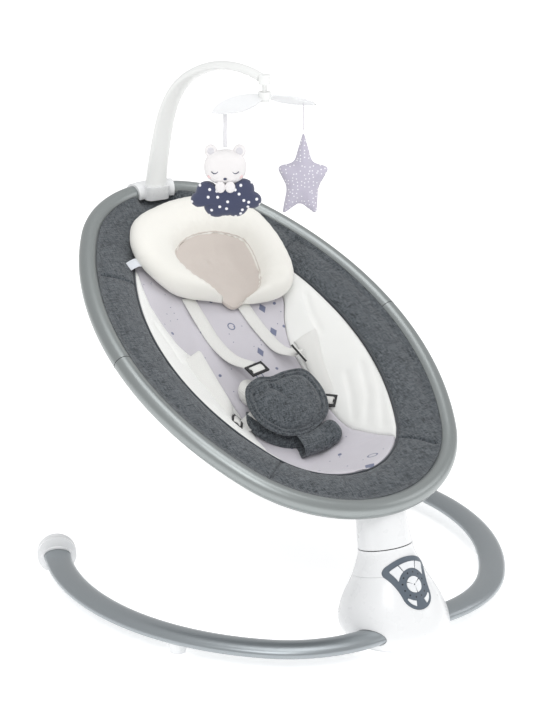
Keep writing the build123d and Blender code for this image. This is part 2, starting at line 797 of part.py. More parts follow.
with BuildPart() as chassis:
    with BuildSketch(Plane.XY.offset(deck_z)):
        with Locations((0, deck_share * neck_y)):
            Circle(deck_radius)
    extrude(amount=deck_thickness)
    with BuildSketch(Plane.XY.offset(housing_floor)):
        with Locations((0, leg_line_y)):
            Rectangle(leg_block_width, leg_width + 2 * leg_block_wall)
        with Locations(*screw_places):
            Circle(2 * screw_radius)
    extrude(amount=block_height)
    with BuildSketch(axis_plane.offset(-tower_bottom)):
        Circle(tower_radius)
    extrude(amount=tower_bottom - tower_top)
    with BuildSketch(axis_plane.offset(-pedestal_top - pedestal_drop)):
        with Locations((0, coil_place + coil_length / 2)):
            Rectangle(coil_width, coil_length)
    extrude(amount=pedestal_drop)
    leg_solid(1, 0, Mode.SUBTRACT)
    leg_solid(-1, 0, Mode.SUBTRACT)
    with BuildSketch(Plane(origin=(0, leg_line_y, leg_z), x_dir=(0, 1, 0), z_dir=(1, 0, 0))):
        Ellipse(leg_width / 2, leg_height / 2)
    extrude(amount=leg_joint_gap, both=True, mode=Mode.SUBTRACT)
    with BuildSketch(axis_plane.offset(-shaft_bottom - seam_gap)):
        Circle(bearing_radius)
    extrude(amount=bearing_width, mode=Mode.SUBTRACT)
    with BuildSketch(axis_plane.offset(-shaft_bottom)):
        Circle(shaft_radius + housing_wall / 2)
    extrude(amount=tower_bottom, mode=Mode.SUBTRACT)
    with BuildSketch(axis_plane.offset(-tower_top - bearing_width)):
        Circle(bearing_radius)
    extrude(amount=bearing_width, mode=Mode.SUBTRACT)
    with BuildSketch(Plane.XY.offset(housing_floor)):
        with Locations(*screw_places):
            Circle(screw_radius)
    extrude(amount=screw_depth, mode=Mode.SUBTRACT)
finish(chassis, "chassis")

with BuildPart() as housing_screws:
    with BuildSketch(Plane.XY.offset(pad_height)):
        with Locations(*screw_places):
            Circle(screw_head_radius)
    extrude(amount=screw_head_height)
    with BuildSketch(Plane.XY.offset(pad_height + screw_head_height)):
        with Locations(*screw_places):
            Circle(screw_radius)
    extrude(amount=housing_floor - pad_height - screw_head_height + screw_depth)
finish(housing_screws, "housing_screws")

with BuildPart() as shaft_bearings:
    for level in (-shaft_bottom - seam_gap, -tower_top - bearing_width):
        with BuildSketch(axis_plane.offset(level)):
            Circle(bearing_radius)
            Circle(shaft_radius + shaft_running_gap, mode=Mode.SUBTRACT)
        extrude(amount=bearing_width)
finish(shaft_bearings, "shaft_bearings")

# The coil stands on its pedestal with its axis pointing at the shaft.
coil_plane = Plane(origin=axis_plane.from_local_coords(Vector(0, coil_place, -coil_middle)), x_dir=(1, 0, 0),
                   z_dir=(0, cos(lean), -sin(lean)))
with BuildPart() as coil_bobbin:
    for level, width, height, length in ((0, coil_width, coil_height, coil_flange),
                                         (0, coil_core, coil_core, coil_length),
                                         (coil_length - coil_flange, coil_width, coil_height, coil_flange)):
        with BuildSketch(coil_plane.offset(level)):
            Rectangle(width, height)
        extrude(amount=length)
finish(coil_bobbin, "coil_bobbin")

with BuildPart() as drive_coil:
    with BuildSketch(coil_plane.offset(coil_flange)):
        Rectangle(coil_width - coil_flange, coil_height - coil_flange)
        Rectangle(coil_core, coil_core, mode=Mode.SUBTRACT)
    extrude(amount=coil_length - 2 * coil_flange)
finish(drive_coil, "drive_coil")

# ---- swinging column --------------------------------------------------------------------------------
with BuildPart() as swing_shaft:
    with BuildSketch(axis_plane.offset(-shaft_bottom)):
        Circle(shaft_radius)
    extrude(amount=shaft_bottom + shaft_top)
finish(swing_shaft, "swing_shaft")

lever_level = lever_gap - tower_top
with BuildPart() as drive_lever:
    with BuildSketch(axis_plane.offset(lever_level)):
        Circle(shaft_radius + hub_wall)
        with Locations((0, lever_reach / 2)):
            Rectangle(lever_width, lever_reach)
    extrude(amount=lever_thickness)
    with BuildSketch(axis_plane.offset(-tower_top - lever_drop)):
        with Locations((0, lever_reach - lever_thickness / 2)):
            Rectangle(lever_width, lever_thickness)
    extrude(amount=lever_drop + lever_gap)
    with BuildSketch(axis_plane.offset(lever_level)):
        Circle(shaft_radius)
    extrude(amount=lever_thickness, mode=Mode.SUBTRACT)
finish(drive_lever, "drive_lever")

with BuildPart() as drive_magnet:
    with BuildSketch(axis_plane.offset(-tower_top - lever_drop)):
        with Locations((0, lever_reach + magnet_depth / 2)):
            Rectangle(lever_width, magnet_depth)
    extrude(amount=magnet_height)
finish(drive_magnet, "drive_magnet")

with BuildPart() as post_shell:
    with BuildSketch(axis_plane.offset(post_gap)):
        Circle(post_radius)
    with BuildSketch(axis_plane.offset(post_height)):
        Circle(post_top_radius)
    loft()
    with BuildSketch(axis_plane.offset(post_gap + post_wall)):
        Circle(post_radius - post_wall)
    with BuildSketch(axis_plane.offset(post_height)):
        Circle(post_top_radius - post_wall)
    loft(mode=Mode.SUBTRACT)
    with BuildSketch(axis_plane.offset(post_gap)):
        Circle(shaft_radius + hub_wall)
    extrude(amount=shaft_top - post_gap + post_wall)
    with BuildSketch(axis_plane.offset(post_gap)):
        Circle(shaft_radius)
    extrude(amount=shaft_top - post_gap, mode=Mode.SUBTRACT)
finish(post_shell, "post_shell")

frame_screw_plane = ring_plane.offset(-frame_screw_head)
frame_screw_places = ((-frame_screw_spread, frame_screw_place), (frame_screw_spread, frame_screw_place))

# The saddle fills the space between the post's top, the ring and the underside of the seat.
under_seat = seat_pad + 2 * cloth_gap + seat_cloth
with BuildPart() as ring_saddle:
    with BuildSketch(axis_plane.offset(post_height)):
        Circle(post_top_radius)
    extrude(amount=saddle_height)
    split(bisect_by=ring_plane, keep=Keep.BOTTOM)
    ring_solid(seam_angle, -1, tube_radius, Mode.SUBTRACT)
    bowl(under_seat, tube_radius - saddle_margin, ring_tube, Mode.SUBTRACT)
    with BuildSketch(frame_screw_plane):
        with Locations(*frame_screw_places):
            Circle(screw_radius)
    extrude(amount=frame_screw_length, mode=Mode.SUBTRACT)
    with BuildSketch(frame_screw_plane):
        with Locations(*frame_screw_places):
            Circle(screw_head_radius + seam_gap)
    extrude(amount=-frame_screw_length, mode=Mode.SUBTRACT)
finish(ring_saddle, "ring_saddle")

with BuildPart() as frame_screws:
    with BuildSketch(frame_screw_plane):
        with Locations(*frame_screw_places):
            Circle(screw_radius)
    extrude(amount=frame_screw_length)
    with BuildSketch(frame_screw_plane):
        with Locations(*frame_screw_places):
            Circle(screw_head_radius)
    extrude(amount=-screw_head_height)
finish(frame_screws, "frame_screws")

with BuildPart() as ring_lower:
    lower_angle = seam_angle - degrees(ring_seam_gap / ring_side_radius)
    ring_solid(lower_angle, -1, tube_radius)
    ring_solid(lower_angle, -1, tube_radius - ring_wall, Mode.SUBTRACT)
    with BuildSketch(frame_screw_plane):
        with Locations(*frame_screw_places):
            Circle(screw_radius)
    extrude(amount=frame_screw_length, mode=Mode.SUBTRACT)
finish(ring_lower, "ring_lower")

with BuildPart() as ring_upper:
    ring_solid(seam_angle, 1, tube_radius)
    ring_solid(seam_angle, 1, tube_radius - ring_wall, Mode.SUBTRACT)
finish(ring_upper, "ring_upper")

with BuildPart() as ring_sleeves:
    half_sleeve = degrees(sleeve_length / 2 / ring_side_radius)
    for side in (-1, 1):
        middle = seam_angle if side > 0 else 180 - seam_angle
        with BuildLine(ring_plane) as sleeve_line:
            CenterArc((-side * side_x, side_y), ring_side_radius, middle - half_sleeve, 2 * half_sleeve)
        with BuildSketch(Plane(origin=sleeve_line.line @ 0, z_dir=sleeve_line.line % 0)):
            Circle(tube_radius - ring_wall)
            Circle(tube_radius - ring_wall - sleeve_wall, mode=Mode.SUBTRACT)
        sweep()
finish(ring_sleeves, "ring_sleeves")

# ---- upholstery -------------------------------------------------------------------------------------
rim_edge = tube_radius + rim_gap
pad_edge = rim_edge + seat_cloth / 2 + cloth_gap
border_edge = tube_radius + border_width
shell_top = seat_pad + cloth_gap

with BuildPart() as seat_shell:
    bowl(shell_top + seat_cloth, rim_edge, -seat_rim_depth / 3)
    bowl(shell_top, pad_edge - cloth_gap, ring_tube, Mode.SUBTRACT)
    bracket_block(cloth_gap, Mode.SUBTRACT)
finish(seat_shell, "seat_shell")

with BuildPart() as border_pad:
    bowl(seat_pad, pad_edge, -seat_rim_depth)
    bowl(0, pad_edge, ring_tube, Mode.SUBTRACT)
    egg_block(border_edge, -ring_length, ring_tube, Mode.SUBTRACT)
    bracket_block(cloth_gap, Mode.SUBTRACT)
finish(border_pad, "border_pad")

with BuildPart() as centre_pad:
    bowl(seat_pad, pad_edge, -seat_rim_depth)
    bowl(0, pad_edge, ring_tube, Mode.SUBTRACT)
    egg_block(border_edge + cloth_gap, -ring_length, ring_tube, Mode.INTERSECT)
    with BuildSketch(ring_plane.offset(-ring_length)):
        with Locations((0, ring_length / 2)):
            Rectangle(2 * panel_half_width, ring_length)
    extrude(amount=ring_length + ring_tube, mode=Mode.INTERSECT)
finish(centre_pad, "centre_pad")

with BuildPart() as side_pads:
    bowl(seat_pad, pad_edge, -seat_rim_depth)
    bowl(0, pad_edge, ring_tube, Mode.SUBTRACT)
    egg_block(border_edge + cloth_gap, -ring_length, ring_tube, Mode.INTERSECT)
    with BuildSketch(ring_plane.offset(-ring_length)):
        with Locations((0, ring_length / 2)):
            Rectangle(2 * (panel_half_width + cloth_gap), ring_length)
    extrude(amount=ring_length + ring_tube, mode=Mode.SUBTRACT)
finish(side_pads, "side_pads")

with BuildPart() as head_pillow:
    bowl(-pillow_lift, pad_edge, ring_length)
    bowl(-pillow_lift - pillow_thickness, pad_edge, ring_length, Mode.SUBTRACT)
    with BuildSketch(ring_plane.offset(-ring_length)):
        with Locations((0, pillow_place)):
            Ellipse(pillow_width / 2, pillow_height / 2)
    extrude(amount=2 * ring_length, mode=Mode.INTERSECT)
finish(head_pillow, "head_pillow")

with BuildPart() as side_tag:
    with BuildSketch(ring_plane.offset(tag_level)):
        with Locations((-tag_x, tag_place)):
            Rectangle(tag_length, tag_width)
    extrude(amount=tag_thickness)
finish(side_tag, "side_tag")

# ---- harness ----------------------------------------------------------------------------------------
with BuildPart() as shoulder_straps:
    for side in (-1, 1):
        with BuildSketch(shoulder_plane(side)):
            with BuildLine():
                Polyline(*shoulder_points(side))
                offset(amount=strap_thickness / 2)
            make_face()
        extrude(amount=strap_width / 2, both=True)
finish(shoulder_straps, "shoulder_straps")

with BuildPart() as waist_straps:
    outer_end = pad_point(waist_end_across, waist_end_place, 0)
    outer_length = (pad_point(hip_across, hip_place, 0) - outer_end).length
    adjuster_turn = radians(waist_adjuster_turn)
    inner_start = (waist_adjuster_across - adjuster_length / 2 * sin(adjuster_turn)
                   - adjuster_width / 2 * cos(adjuster_turn) - strap_thickness / 2 - rim_gap)
    for side in (-1, 1):
        with BuildSketch(waist_plane(side)):
            Rectangle(outer_length, strap_width)
        extrude(amount=strap_thickness / 2, both=True)
        with BuildSketch(cross_plane(buckle_place)):
            with BuildLine():
                Polyline((side * inner_start, pad_level(inner_start, buckle_place) + inner_waist_lift),
                         (side * (buckle_width / 2 + strap_thickness), strap_thickness * 2 - buckle_depth))
                offset(amount=strap_thickness / 2)
            make_face()
        extrude(amount=strap_width / 2, both=True)
finish(waist_straps, "waist_straps")

with BuildPart() as strap_adjusters:
    for level in adjuster_planes():
        with BuildSketch(level):
            Rectangle(adjuster_length, adjuster_width)
            for bar_side in (-1, 1):
                with Locations((bar_side * (adjuster_length - adjuster_rail) / 4, 0)):
                    Rectangle((adjuster_length - 3 * adjuster_rail) / 2, adjuster_width - 2 * adjuster_rail,
                              mode=Mode.SUBTRACT)
        extrude(amount=adjuster_thickness / 2, both=True)
finish(strap_adjusters, "strap_adjusters")

buckle_turn = pitch + radians(buckle_tilt)
buckle_plane = Plane(origin=ring_plane.from_local_coords(Vector(0, buckle_place, -buckle_depth)),
                     x_dir=(1, 0, 0), z_dir=(0, -sin(buckle_turn), cos(buckle_turn)))
with BuildPart() as buckle_body:
    with BuildSketch(buckle_plane):
        RectangleRounded(buckle_width, buckle_length, buckle_corner)
    extrude(amount=buckle_thickness)
    with BuildSketch(buckle_plane):
        Circle(release_radius + button_gap)
    extrude(amount=buckle_thickness, mode=Mode.SUBTRACT)
    with BuildSketch(buckle_plane):
        Circle(release_radius + 2 * button_gap)
    extrude(amount=buckle_thickness / 3, mode=Mode.ADD)
finish(buckle_body, "buckle_body")

# The release disc stands in the buckle's well, its travel above the floor of the well.
with BuildPart() as buckle_release:
    with BuildSketch(buckle_plane.offset(buckle_thickness / 3 + release_travel + seam_gap)):
        Circle(release_radius)
    extrude(amount=2 * buckle_thickness / 3 - release_travel - seam_gap)
finish(buckle_release, "buckle_release")

with BuildPart() as crotch_pad:
    with BuildSketch(buckle_plane.offset(buckle_thickness + cloth_gap)):
        RectangleRounded(crotch_pad_width, crotch_pad_length, crotch_pad_corner)
    extrude(amount=crotch_pad_thickness)
finish(crotch_pad, "crotch_pad")

with BuildPart() as crotch_strap:
    with BuildSketch(long_plane):
        with BuildLine():
            Polyline(*[(place, pad_level(0, place) + lift) for place, lift in crotch_line])
            offset(amount=strap_thickness)
        make_face()
    extrude(amount=crotch_strap_width / 2, both=True)
finish(crotch_strap, "crotch_strap")

with BuildPart() as crotch_sleeve:
    bowl(-cloth_gap, pad_edge, ring_length)
    bowl(-sleeve_pad_thickness, pad_edge, ring_length, Mode.SUBTRACT)
    with BuildSketch(ring_plane.offset(-ring_length)):
        with Locations((0, sleeve_pad_place)):
            Rectangle(sleeve_pad_width, sleeve_pad_length)
    extrude(amount=2 * ring_length, mode=Mode.INTERSECT)
finish(crotch_sleeve, "crotch_sleeve")

# ---- toy bar ----------------------------------------------------------------------------------------
with BuildPart() as bar_bracket:
    bracket_turn = degrees(bracket_length / 2 / ring_head_radius)
    with BuildLine(ring_plane) as clip_line:
        CenterArc((0, head_centre), ring_head_radius, 90 - bracket_turn, 2 * bracket_turn)
    with BuildSketch(Plane(origin=clip_line.line @ 0, z_dir=clip_line.line % 0)):
        Circle(tube_radius + bracket_wall)
    sweep()
    split(bisect_by=ring_plane.offset(cloth_gap), keep=Keep.TOP)
    with BuildSketch(bar_plane):
        Ellipse(bar_width / 2 + plug_gap, bar_depth / 2 + plug_gap)
    extrude(amount=plug_length, mode=Mode.SUBTRACT)
    bracket_block(0, Mode.ADD)
    ring_solid(seam_angle, 1, tube_radius, Mode.SUBTRACT)
    with BuildSketch(bar_plane.offset(-plug_length - plug_gap)):
        with Locations((0, -plug_offset)):
            Rectangle(plug_width + 2 * plug_gap, plug_depth + 2 * plug_gap)
    extrude(amount=2 * plug_length, mode=Mode.SUBTRACT)
finish(bar_bracket, "bar_bracket")

with BuildLine(Plane.YZ) as bar_line:
    bar_arc = TangentArc((bar_foot_y, bar_foot_z), bar_points[0], tangent=(-sin(bar_turn), cos(bar_turn)))
    for point in bar_points[1:]:
        bar_arc = TangentArc(bar_arc @ 1, point, tangent=bar_arc % 1)

knuckle_plane = Plane(origin=(0, pin_y, knuckle_z))
with BuildPart() as toy_arm:
    for station in range(bar_stations + 1):
        share = station / bar_stations
        with BuildSketch(Plane(origin=bar_line.line @ share, x_dir=(1, 0, 0), z_dir=bar_line.line % share)):
            Ellipse((bar_width + share * (bar_tip_width - bar_width)) / 2,
                    (bar_depth + share * (bar_tip_depth - bar_depth)) / 2)
    loft()
    with BuildSketch(bar_plane.offset(-plug_length)):
        with Locations((0, -plug_offset)):
            Rectangle(plug_width, plug_depth)
    extrude(amount=plug_length)
    with BuildSketch(knuckle_plane):
        Circle(knuckle_radius)
    extrude(amount=knuckle_height / 2, both=True)
    with BuildSketch(Plane.XY.offset(hub_z - seam_gap)):
        with Locations((0, pin_y)):
            Circle(pin_radius)
    extrude(amount=knuckle_z - hub_z)
finish(toy_arm, "toy_arm")

with BuildPart() as pin_retainer:
    with BuildSketch(Plane.XY.offset(hub_z - seam_gap)):
        with Locations((0, pin_y)):
            Circle(pin_radius + bracket_wall)
    extrude(amount=-bracket_wall)
finish(pin_retainer, "pin_retainer")

with BuildPart() as spinner_hub:
    with BuildSketch(Plane.XY.offset(hub_z)):
        with Locations((0, pin_y)):
            Circle(hub_radius)
            Circle(pin_radius + shaft_running_gap, mode=Mode.SUBTRACT)
    extrude(amount=hub_height)
finish(spinner_hub, "spinner_hub")

with BuildPart() as spinner_blades:
    for side in (1, -1):
        with BuildSketch(blade_plane(side)):
            with BuildLine():
                ThreePointArc((0, 0), (blade_length / 2, blade_width / 2), (blade_length, 0))
                ThreePointArc((0, 0), (blade_length / 2, -blade_width / 2), (blade_length, 0))
            make_face()
        extrude(amount=blade_thickness / 2, both=True)
    with BuildSketch(Plane.XY.offset(hub_z - hub_height)):
        with Locations((0, pin_y)):
            Circle(hub_radius)
    extrude(amount=3 * hub_height, mode=Mode.SUBTRACT)
finish(spinner_blades, "spinner_blades")

# ---- hanging toys -----------------------------------------------------------------------------------
bear_plane = toy_plane(-1)
with BuildPart() as bear_ribbon:
    with BuildSketch(bear_plane):
        with Locations((0, -ribbon_length / 2)):
            Rectangle(ribbon_width, ribbon_length)
    extrude(amount=ribbon_thickness / 2, both=True)
finish(bear_ribbon, "bear_ribbon")

head_middle = -ribbon_length - head_height / 2 + ribbon_thickness
cloud_middle = head_middle - head_height / 2 - cloud_height / 2 + cloud_overlap
with BuildPart() as bear_toy:
    with BuildSketch(bear_plane):
        with Locations((0, head_middle)):
            Ellipse(head_width / 2, head_height / 2)
        with Locations((-ear_spread, head_middle + ear_rise), (ear_spread, head_middle + ear_rise)):
            Circle(ear_radius)
        with Locations((0, head_middle + head_height / 2)):
            Rectangle(2 * ribbon_width, 2 * ribbon_thickness, mode=Mode.SUBTRACT)
        with Locations((0, cloud_middle)):
            Ellipse(cloud_width / 2, cloud_height / 2 - ear_radius)
        for across, up, radius in cloud_puffs:
            with Locations((across, cloud_middle + up)):
                Circle(radius)
    extrude(amount=toy_thickness / 2, both=True)
finish(bear_toy, "bear_toy")

star_plane = toy_plane(1)
with BuildPart() as star_string:
    with BuildSketch(Plane(origin=star_plane.origin)):
        Circle(string_radius)
    extrude(amount=-string_length)
finish(star_string, "star_string")

star_tip = -string_length - seam_gap
with BuildPart() as star_toy:
    with BuildSketch(star_plane):
        with BuildLine():
            Polyline(*[(across * star_width / 2, star_tip - down * star_height)
                       for across, down in star_corners], close=True)
        make_face()
        fillet(vertices(), star_round)
    extrude(amount=toy_thickness / 2, both=True)
finish(star_toy, "star_toy")
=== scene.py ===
"""Looks for the baby swing: soft goods, materials, prints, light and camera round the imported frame."""
import json
from math import atan2, cos, exp, hypot, pi, radians, sin, sqrt, tan

import bpy
import numpy as np
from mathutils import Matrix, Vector, noise


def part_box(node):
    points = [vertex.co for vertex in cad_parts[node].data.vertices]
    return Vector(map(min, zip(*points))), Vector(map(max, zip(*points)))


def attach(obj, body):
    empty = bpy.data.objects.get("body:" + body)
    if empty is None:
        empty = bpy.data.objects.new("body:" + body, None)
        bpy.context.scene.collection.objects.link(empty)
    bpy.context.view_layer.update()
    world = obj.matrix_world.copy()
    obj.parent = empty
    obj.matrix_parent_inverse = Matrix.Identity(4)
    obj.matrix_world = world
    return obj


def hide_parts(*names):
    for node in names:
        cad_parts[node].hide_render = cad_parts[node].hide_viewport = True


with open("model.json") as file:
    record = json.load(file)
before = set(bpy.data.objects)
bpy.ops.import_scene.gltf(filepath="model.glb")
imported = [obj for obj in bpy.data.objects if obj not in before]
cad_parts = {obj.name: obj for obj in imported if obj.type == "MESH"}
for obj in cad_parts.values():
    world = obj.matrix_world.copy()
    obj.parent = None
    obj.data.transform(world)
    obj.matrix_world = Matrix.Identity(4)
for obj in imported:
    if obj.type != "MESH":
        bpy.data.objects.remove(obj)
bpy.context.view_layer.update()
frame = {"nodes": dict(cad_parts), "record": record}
scene = bpy.context.scene
MM = 0.001
HANDS = ((-1, "left"), (1, "right"))  # sign of x, side


def add_object(name, data):
    obj = bpy.data.objects.new(name, data)
    scene.collection.objects.link(obj)
    return obj


# ---- camera ----
CAMERA_PLACE = (-1.5042, -1.8024, 1.2040)
CAMERA_AIM = Vector((0.548, 0.777, -0.312))
CAMERA_LENS = 85.26
camera = add_object("camera", bpy.data.cameras.new("camera"))
camera.location = CAMERA_PLACE
camera.rotation_euler = CAMERA_AIM.to_track_quat("-Z", "Y").to_euler()
camera.data.lens = CAMERA_LENS
camera.data.sensor_width = 36
bpy.context.scene.camera = camera


# ---- the seat's shape, as in the CAD, in millimetres ----
PITCH = radians(27.8)
FOOT = Vector((0, 13.2, 205.7))
ALONG = Vector((0, cos(PITCH), sin(PITCH)))
UP = Vector((0, -sin(PITCH), cos(PITCH)))
LENGTH, HEAD_R, FOOT_R, SIDE_R, TUBE_R = 763, 202, 219, 534, 14.5
HEAD_C = LENGTH - HEAD_R  # the head arc's centre
SPAN = HEAD_C - FOOT_R
RISE = ((SIDE_R - FOOT_R) ** 2 - (SIDE_R - HEAD_R) ** 2 + SPAN**2) / (2 * SPAN)
SIDE_X = sqrt((SIDE_R - FOOT_R) ** 2 - RISE**2)
SIDE_Y = FOOT_R + RISE
HEAD_A = atan2(HEAD_C - SIDE_Y, SIDE_X)
FOOT_A = atan2(FOOT_R - SIDE_Y, SIDE_X)
ARCS = (
    (0, FOOT_R, FOOT_R, -pi / 2, FOOT_A),
    (-SIDE_X, SIDE_Y, SIDE_R, FOOT_A, HEAD_A),
    (0, HEAD_C, HEAD_R, HEAD_A, pi - HEAD_A),
    (SIDE_X, SIDE_Y, SIDE_R, pi - HEAD_A, pi - FOOT_A),
    (0, FOOT_R, FOOT_R, pi - FOOT_A, 1.5 * pi),
)
ROUND = sum(r * (b - a) for _, _, r, a, b in ARCS)
# The pads' upper face by how far it lies inside the ring: inset, depth at MIDDLE and slope towards the head
SECTIONS = ((TUBE_R, 3, 0), (80, 12, 0), (120, 40, 4), (150, 60, 7), (178, 72, 10))
MIDDLE = 380


def seat(x, s, n):
    """Row-frame point, in metres, from millimetres across, along and up from the ring's plane"""
    return (FOOT + Vector((x, 0, 0)) + ALONG * s + UP * n) * MM


def egg(t, inset):
    """(across, along) of a point at a share t round the ring, moved inwards"""
    run = (t % 1) * ROUND
    for cx, cy, r, a, b in ARCS:
        if run <= r * (b - a) or (cx, cy, r, a, b) == ARCS[-1]:
            angle = a + run / r
            return cx + (r - inset) * cos(angle), cy + (r - inset) * sin(angle)
        run -= r * (b - a)


def inset_of(x, s):
    """How far inside the ring's centre line a place is"""
    x = abs(x)
    turn = atan2(s - SIDE_Y, x + SIDE_X)
    if turn > HEAD_A:
        return HEAD_R - hypot(x, s - HEAD_C)
    if turn < FOOT_A:
        return FOOT_R - hypot(x, s - FOOT_R)
    return SIDE_R - hypot(x + SIDE_X, s - SIDE_Y)


def half_width(s, inset):
    """Half the width of the ring's outline, moved inwards, at a place along it"""
    low, high = 0.0, 300.0
    for _ in range(24):
        mid = (low + high) / 2
        low, high = (mid, high) if inset_of(mid, s) > inset else (low, mid)
    return low


def smooth(x):
    """An eased step from 0 to 1 as x goes from 0 to 1"""
    x = min(1.0, max(0.0, x))
    return x * x * (3 - 2 * x)


def surface(x, s):
    """Height of the pads' upper face over the ring's plane"""
    d = min(inset_of(x, s), SECTIONS[-1][0])
    for low, high in zip(SECTIONS, SECTIONS[1:]):
        if d <= high[0]:
            break
    f = max(0.0, (d - low[0]) / (high[0] - low[0]))
    deep = low[1] + f * (high[1] - low[1])
    slope = tan(radians(low[2])) * (1 - f) + tan(radians(high[2])) * f
    return -deep + (s - MIDDLE) * slope


# ---- mesh helpers ----
def new_object(name, verts, faces, material, subdivide=0):
    """A smooth-shaded mesh in the scene"""
    mesh = bpy.data.meshes.new(name)
    mesh.from_pydata([tuple(v) for v in verts], [], faces)
    mesh.validate()
    mesh.shade_smooth()
    mesh.materials.append(material)
    obj = add_object(name, mesh)
    if subdivide:
        mod = obj.modifiers.new("subdivision", "SUBSURF")
        mod.levels = mod.render_levels = subdivide
    return obj


def pad(name, rows, cols, top, bottom, material, subdivide=1):
    """A closed pad between two grids, top(i, j) and bottom(i, j), joined round the edge"""
    verts = [f(i / rows, j / cols) for f in (top, bottom) for i in range(rows + 1) for j in range(cols + 1)]
    width = cols + 1
    size = (rows + 1) * width
    faces = []
    for i in range(rows):
        for j in range(cols):
            a = i * width + j
            faces.append((a, a + 1, a + width + 1, a + width))
            faces.append((size + a, size + a + width, size + a + width + 1, size + a + 1))
    edge = list(range(cols)) + [i * width + cols for i in range(rows)]
    edge += [rows * width + j for j in range(cols, 0, -1)] + [i * width for i in range(rows, 0, -1)]
    for a, b in zip(edge, edge[1:] + edge[:1]):
        faces.append((b, a, size + a, size + b))
    return new_object(name, verts, faces, material, subdivide)


def tube(name, rings, material, closed=True, caps=True):
    """A skin through rings of points: closed joins the last ring to the first, open may have flat caps"""
    count = len(rings[0])
    verts = [p for ring in rings for p in ring]
    faces = []
    for i in range(len(rings) if closed else len(rings) - 1):
        here, there = i * count, (i + 1) % len(rings) * count
        for j in range(count):
            n = (j + 1) % count
            faces.append((here + j, here + n, there + n, there + j))
    if caps and not closed:
        faces.append(tuple(reversed(range(count))))
        faces.append(tuple(range((len(rings) - 1) * count, len(rings) * count)))
    return new_object(name, verts, faces, material)


def spline(points, count, closed=False):
    """A smooth line in count spans through a list of points, back to the first one if it is closed"""
    line = [points[-1], *points, *points[:2]] if closed else [points[0], *points, points[-1]]
    line = [Vector(p) for p in line]
    out = []
    for k in range(count if closed else count + 1):
        f = k / count * (len(line) - 3)
        i = min(int(f), len(line) - 4)
        f -= i
        a, b, c, d = line[i:i + 4]
        out.append(0.5 * ((2 * b) + (c - a) * f + (2 * a - 5 * b + 4 * c - d) * f**2
                          + (3 * b - a - 3 * c + d) * f**3))
    return out


def turns(count):
    """Angles evenly round a circle"""
    return [2 * pi * k / count for k in range(count)]


def shares(count):
    """Evenly spaced shares from 0 to 1"""
    return [k / (count - 1) for k in range(count)]


def superellipse(count, power):
    """(across, up) of a round outline of size 1 that is squarer the higher its power"""
    for a in turns(count):
        far = (abs(cos(a)) ** power + abs(sin(a)) ** power) ** (-1 / power)
        yield far * cos(a), far * sin(a)


def crown(f, sharp):
    """Height of a stuffed form over its width: 0 at both edges, 1 in the middle"""
    return max(0.0, 1 - abs(2 * f - 1) ** 2.2) ** sharp


def ripple(x, y, z, size):
    """Soft noise between -1 and 1: z picks its pattern and size is the width of its lumps"""
    return noise.noise(Vector((x, y, z)) / size)


# ---- materials ----
FINE = 0.0002  # height of a moulded or painted surface's grain, in metres
THREAD = 0.0004  # height of a cloth's threads, in metres


class Material:
    """A small wrapper for building node materials"""

    def __init__(self, name, colour, roughness, **values):
        self.material = bpy.data.materials.new(name)
        self.material.use_nodes = True
        self.tree = self.material.node_tree
        self.shader = self.tree.nodes["Principled BSDF"]
        self.shader.inputs["Base Color"].default_value = (*colour, 1)
        self.shader.inputs["Roughness"].default_value = roughness
        for key, value in values.items():
            self.shader.inputs[key.replace("_", " ")].default_value = value
        self.coords = self.tree.nodes.new("ShaderNodeTexCoord").outputs["Object"]

    def node(self, kind, settings=(), **inputs):
        """A node with its settings and inputs; i0, i1 and so on name inputs by their order"""
        node = self.tree.nodes.new("ShaderNode" + kind)
        for key, value in dict(settings).items():
            setattr(node, key, value)
        for key, value in inputs.items():
            numbered = key[0] == "i" and key[1:].isdigit()
            socket = node.inputs[int(key[1:]) if numbered else key.replace("_", " ")]
            if isinstance(value, bpy.types.NodeSocket):
                self.tree.links.new(value, socket)
            else:
                socket.default_value = value
        return node

    def math(self, operation, a, b=0.0):
        return self.node("Math", {"operation": operation}, i0=a, i1=b).outputs[0]

    def noise(self, scale, detail, vector=None):
        return self.node("TexNoise", Vector=vector or self.coords, Scale=scale, Detail=detail,
                         Roughness=0.5).outputs["Fac"]

    def mapped(self, rotation, location=(0, 0, 0)):
        return self.node("Mapping", Vector=self.coords, Rotation=rotation, Location=location).outputs[0]

    def ramp(self, value, low, high):
        """A mask that goes from 0 at low to 1 at high"""
        return self.node("MapRange", {"clamp": True}, Value=value, From_Min=low, From_Max=high).outputs[0]

    def times(self, a, b):
        return self.math("MULTIPLY", a, b)

    def mix(self, factor, a, b):
        """Colour a where the factor is 0 and colour b where it is 1"""
        a, b = (v if isinstance(v, bpy.types.NodeSocket) else (*v, 1) for v in (a, b))
        return self.node("Mix", {"data_type": "RGBA"}, i0=factor, i6=a, i7=b).outputs[2]

    def base_colour(self):
        return self.shader.inputs["Base Color"].links[0].from_socket

    def colour(self, value):
        self.tree.links.new(value, self.shader.inputs["Base Color"])

    def rough(self, scale, detail, low, high):
        """Roughness that drifts over the surface between two values"""
        drift = self.node("MapRange", Value=self.noise(scale, detail), To_Min=low, To_Max=high)
        self.tree.links.new(drift.outputs[0], self.shader.inputs["Roughness"])

    def bump(self, height, strength, distance):
        node = self.node("Bump", Height=height, Strength=strength, Distance=distance)
        self.tree.links.new(node.outputs["Normal"], self.shader.inputs["Normal"])


def plastic(name, colour, roughness, grain=0.05, coat=0.0, **values):
    made = Material(name, colour, roughness, Coat_Weight=coat, **values)
    cloud = made.noise(9, 3)
    made.colour(made.mix(made.ramp(cloud, 0.3, 0.7), Vector(colour) * 0.985, colour))
    made.rough(40, 5, roughness - 0.04, roughness + 0.07)
    made.bump(made.noise(2600, 2), grain, FINE)
    return made.material


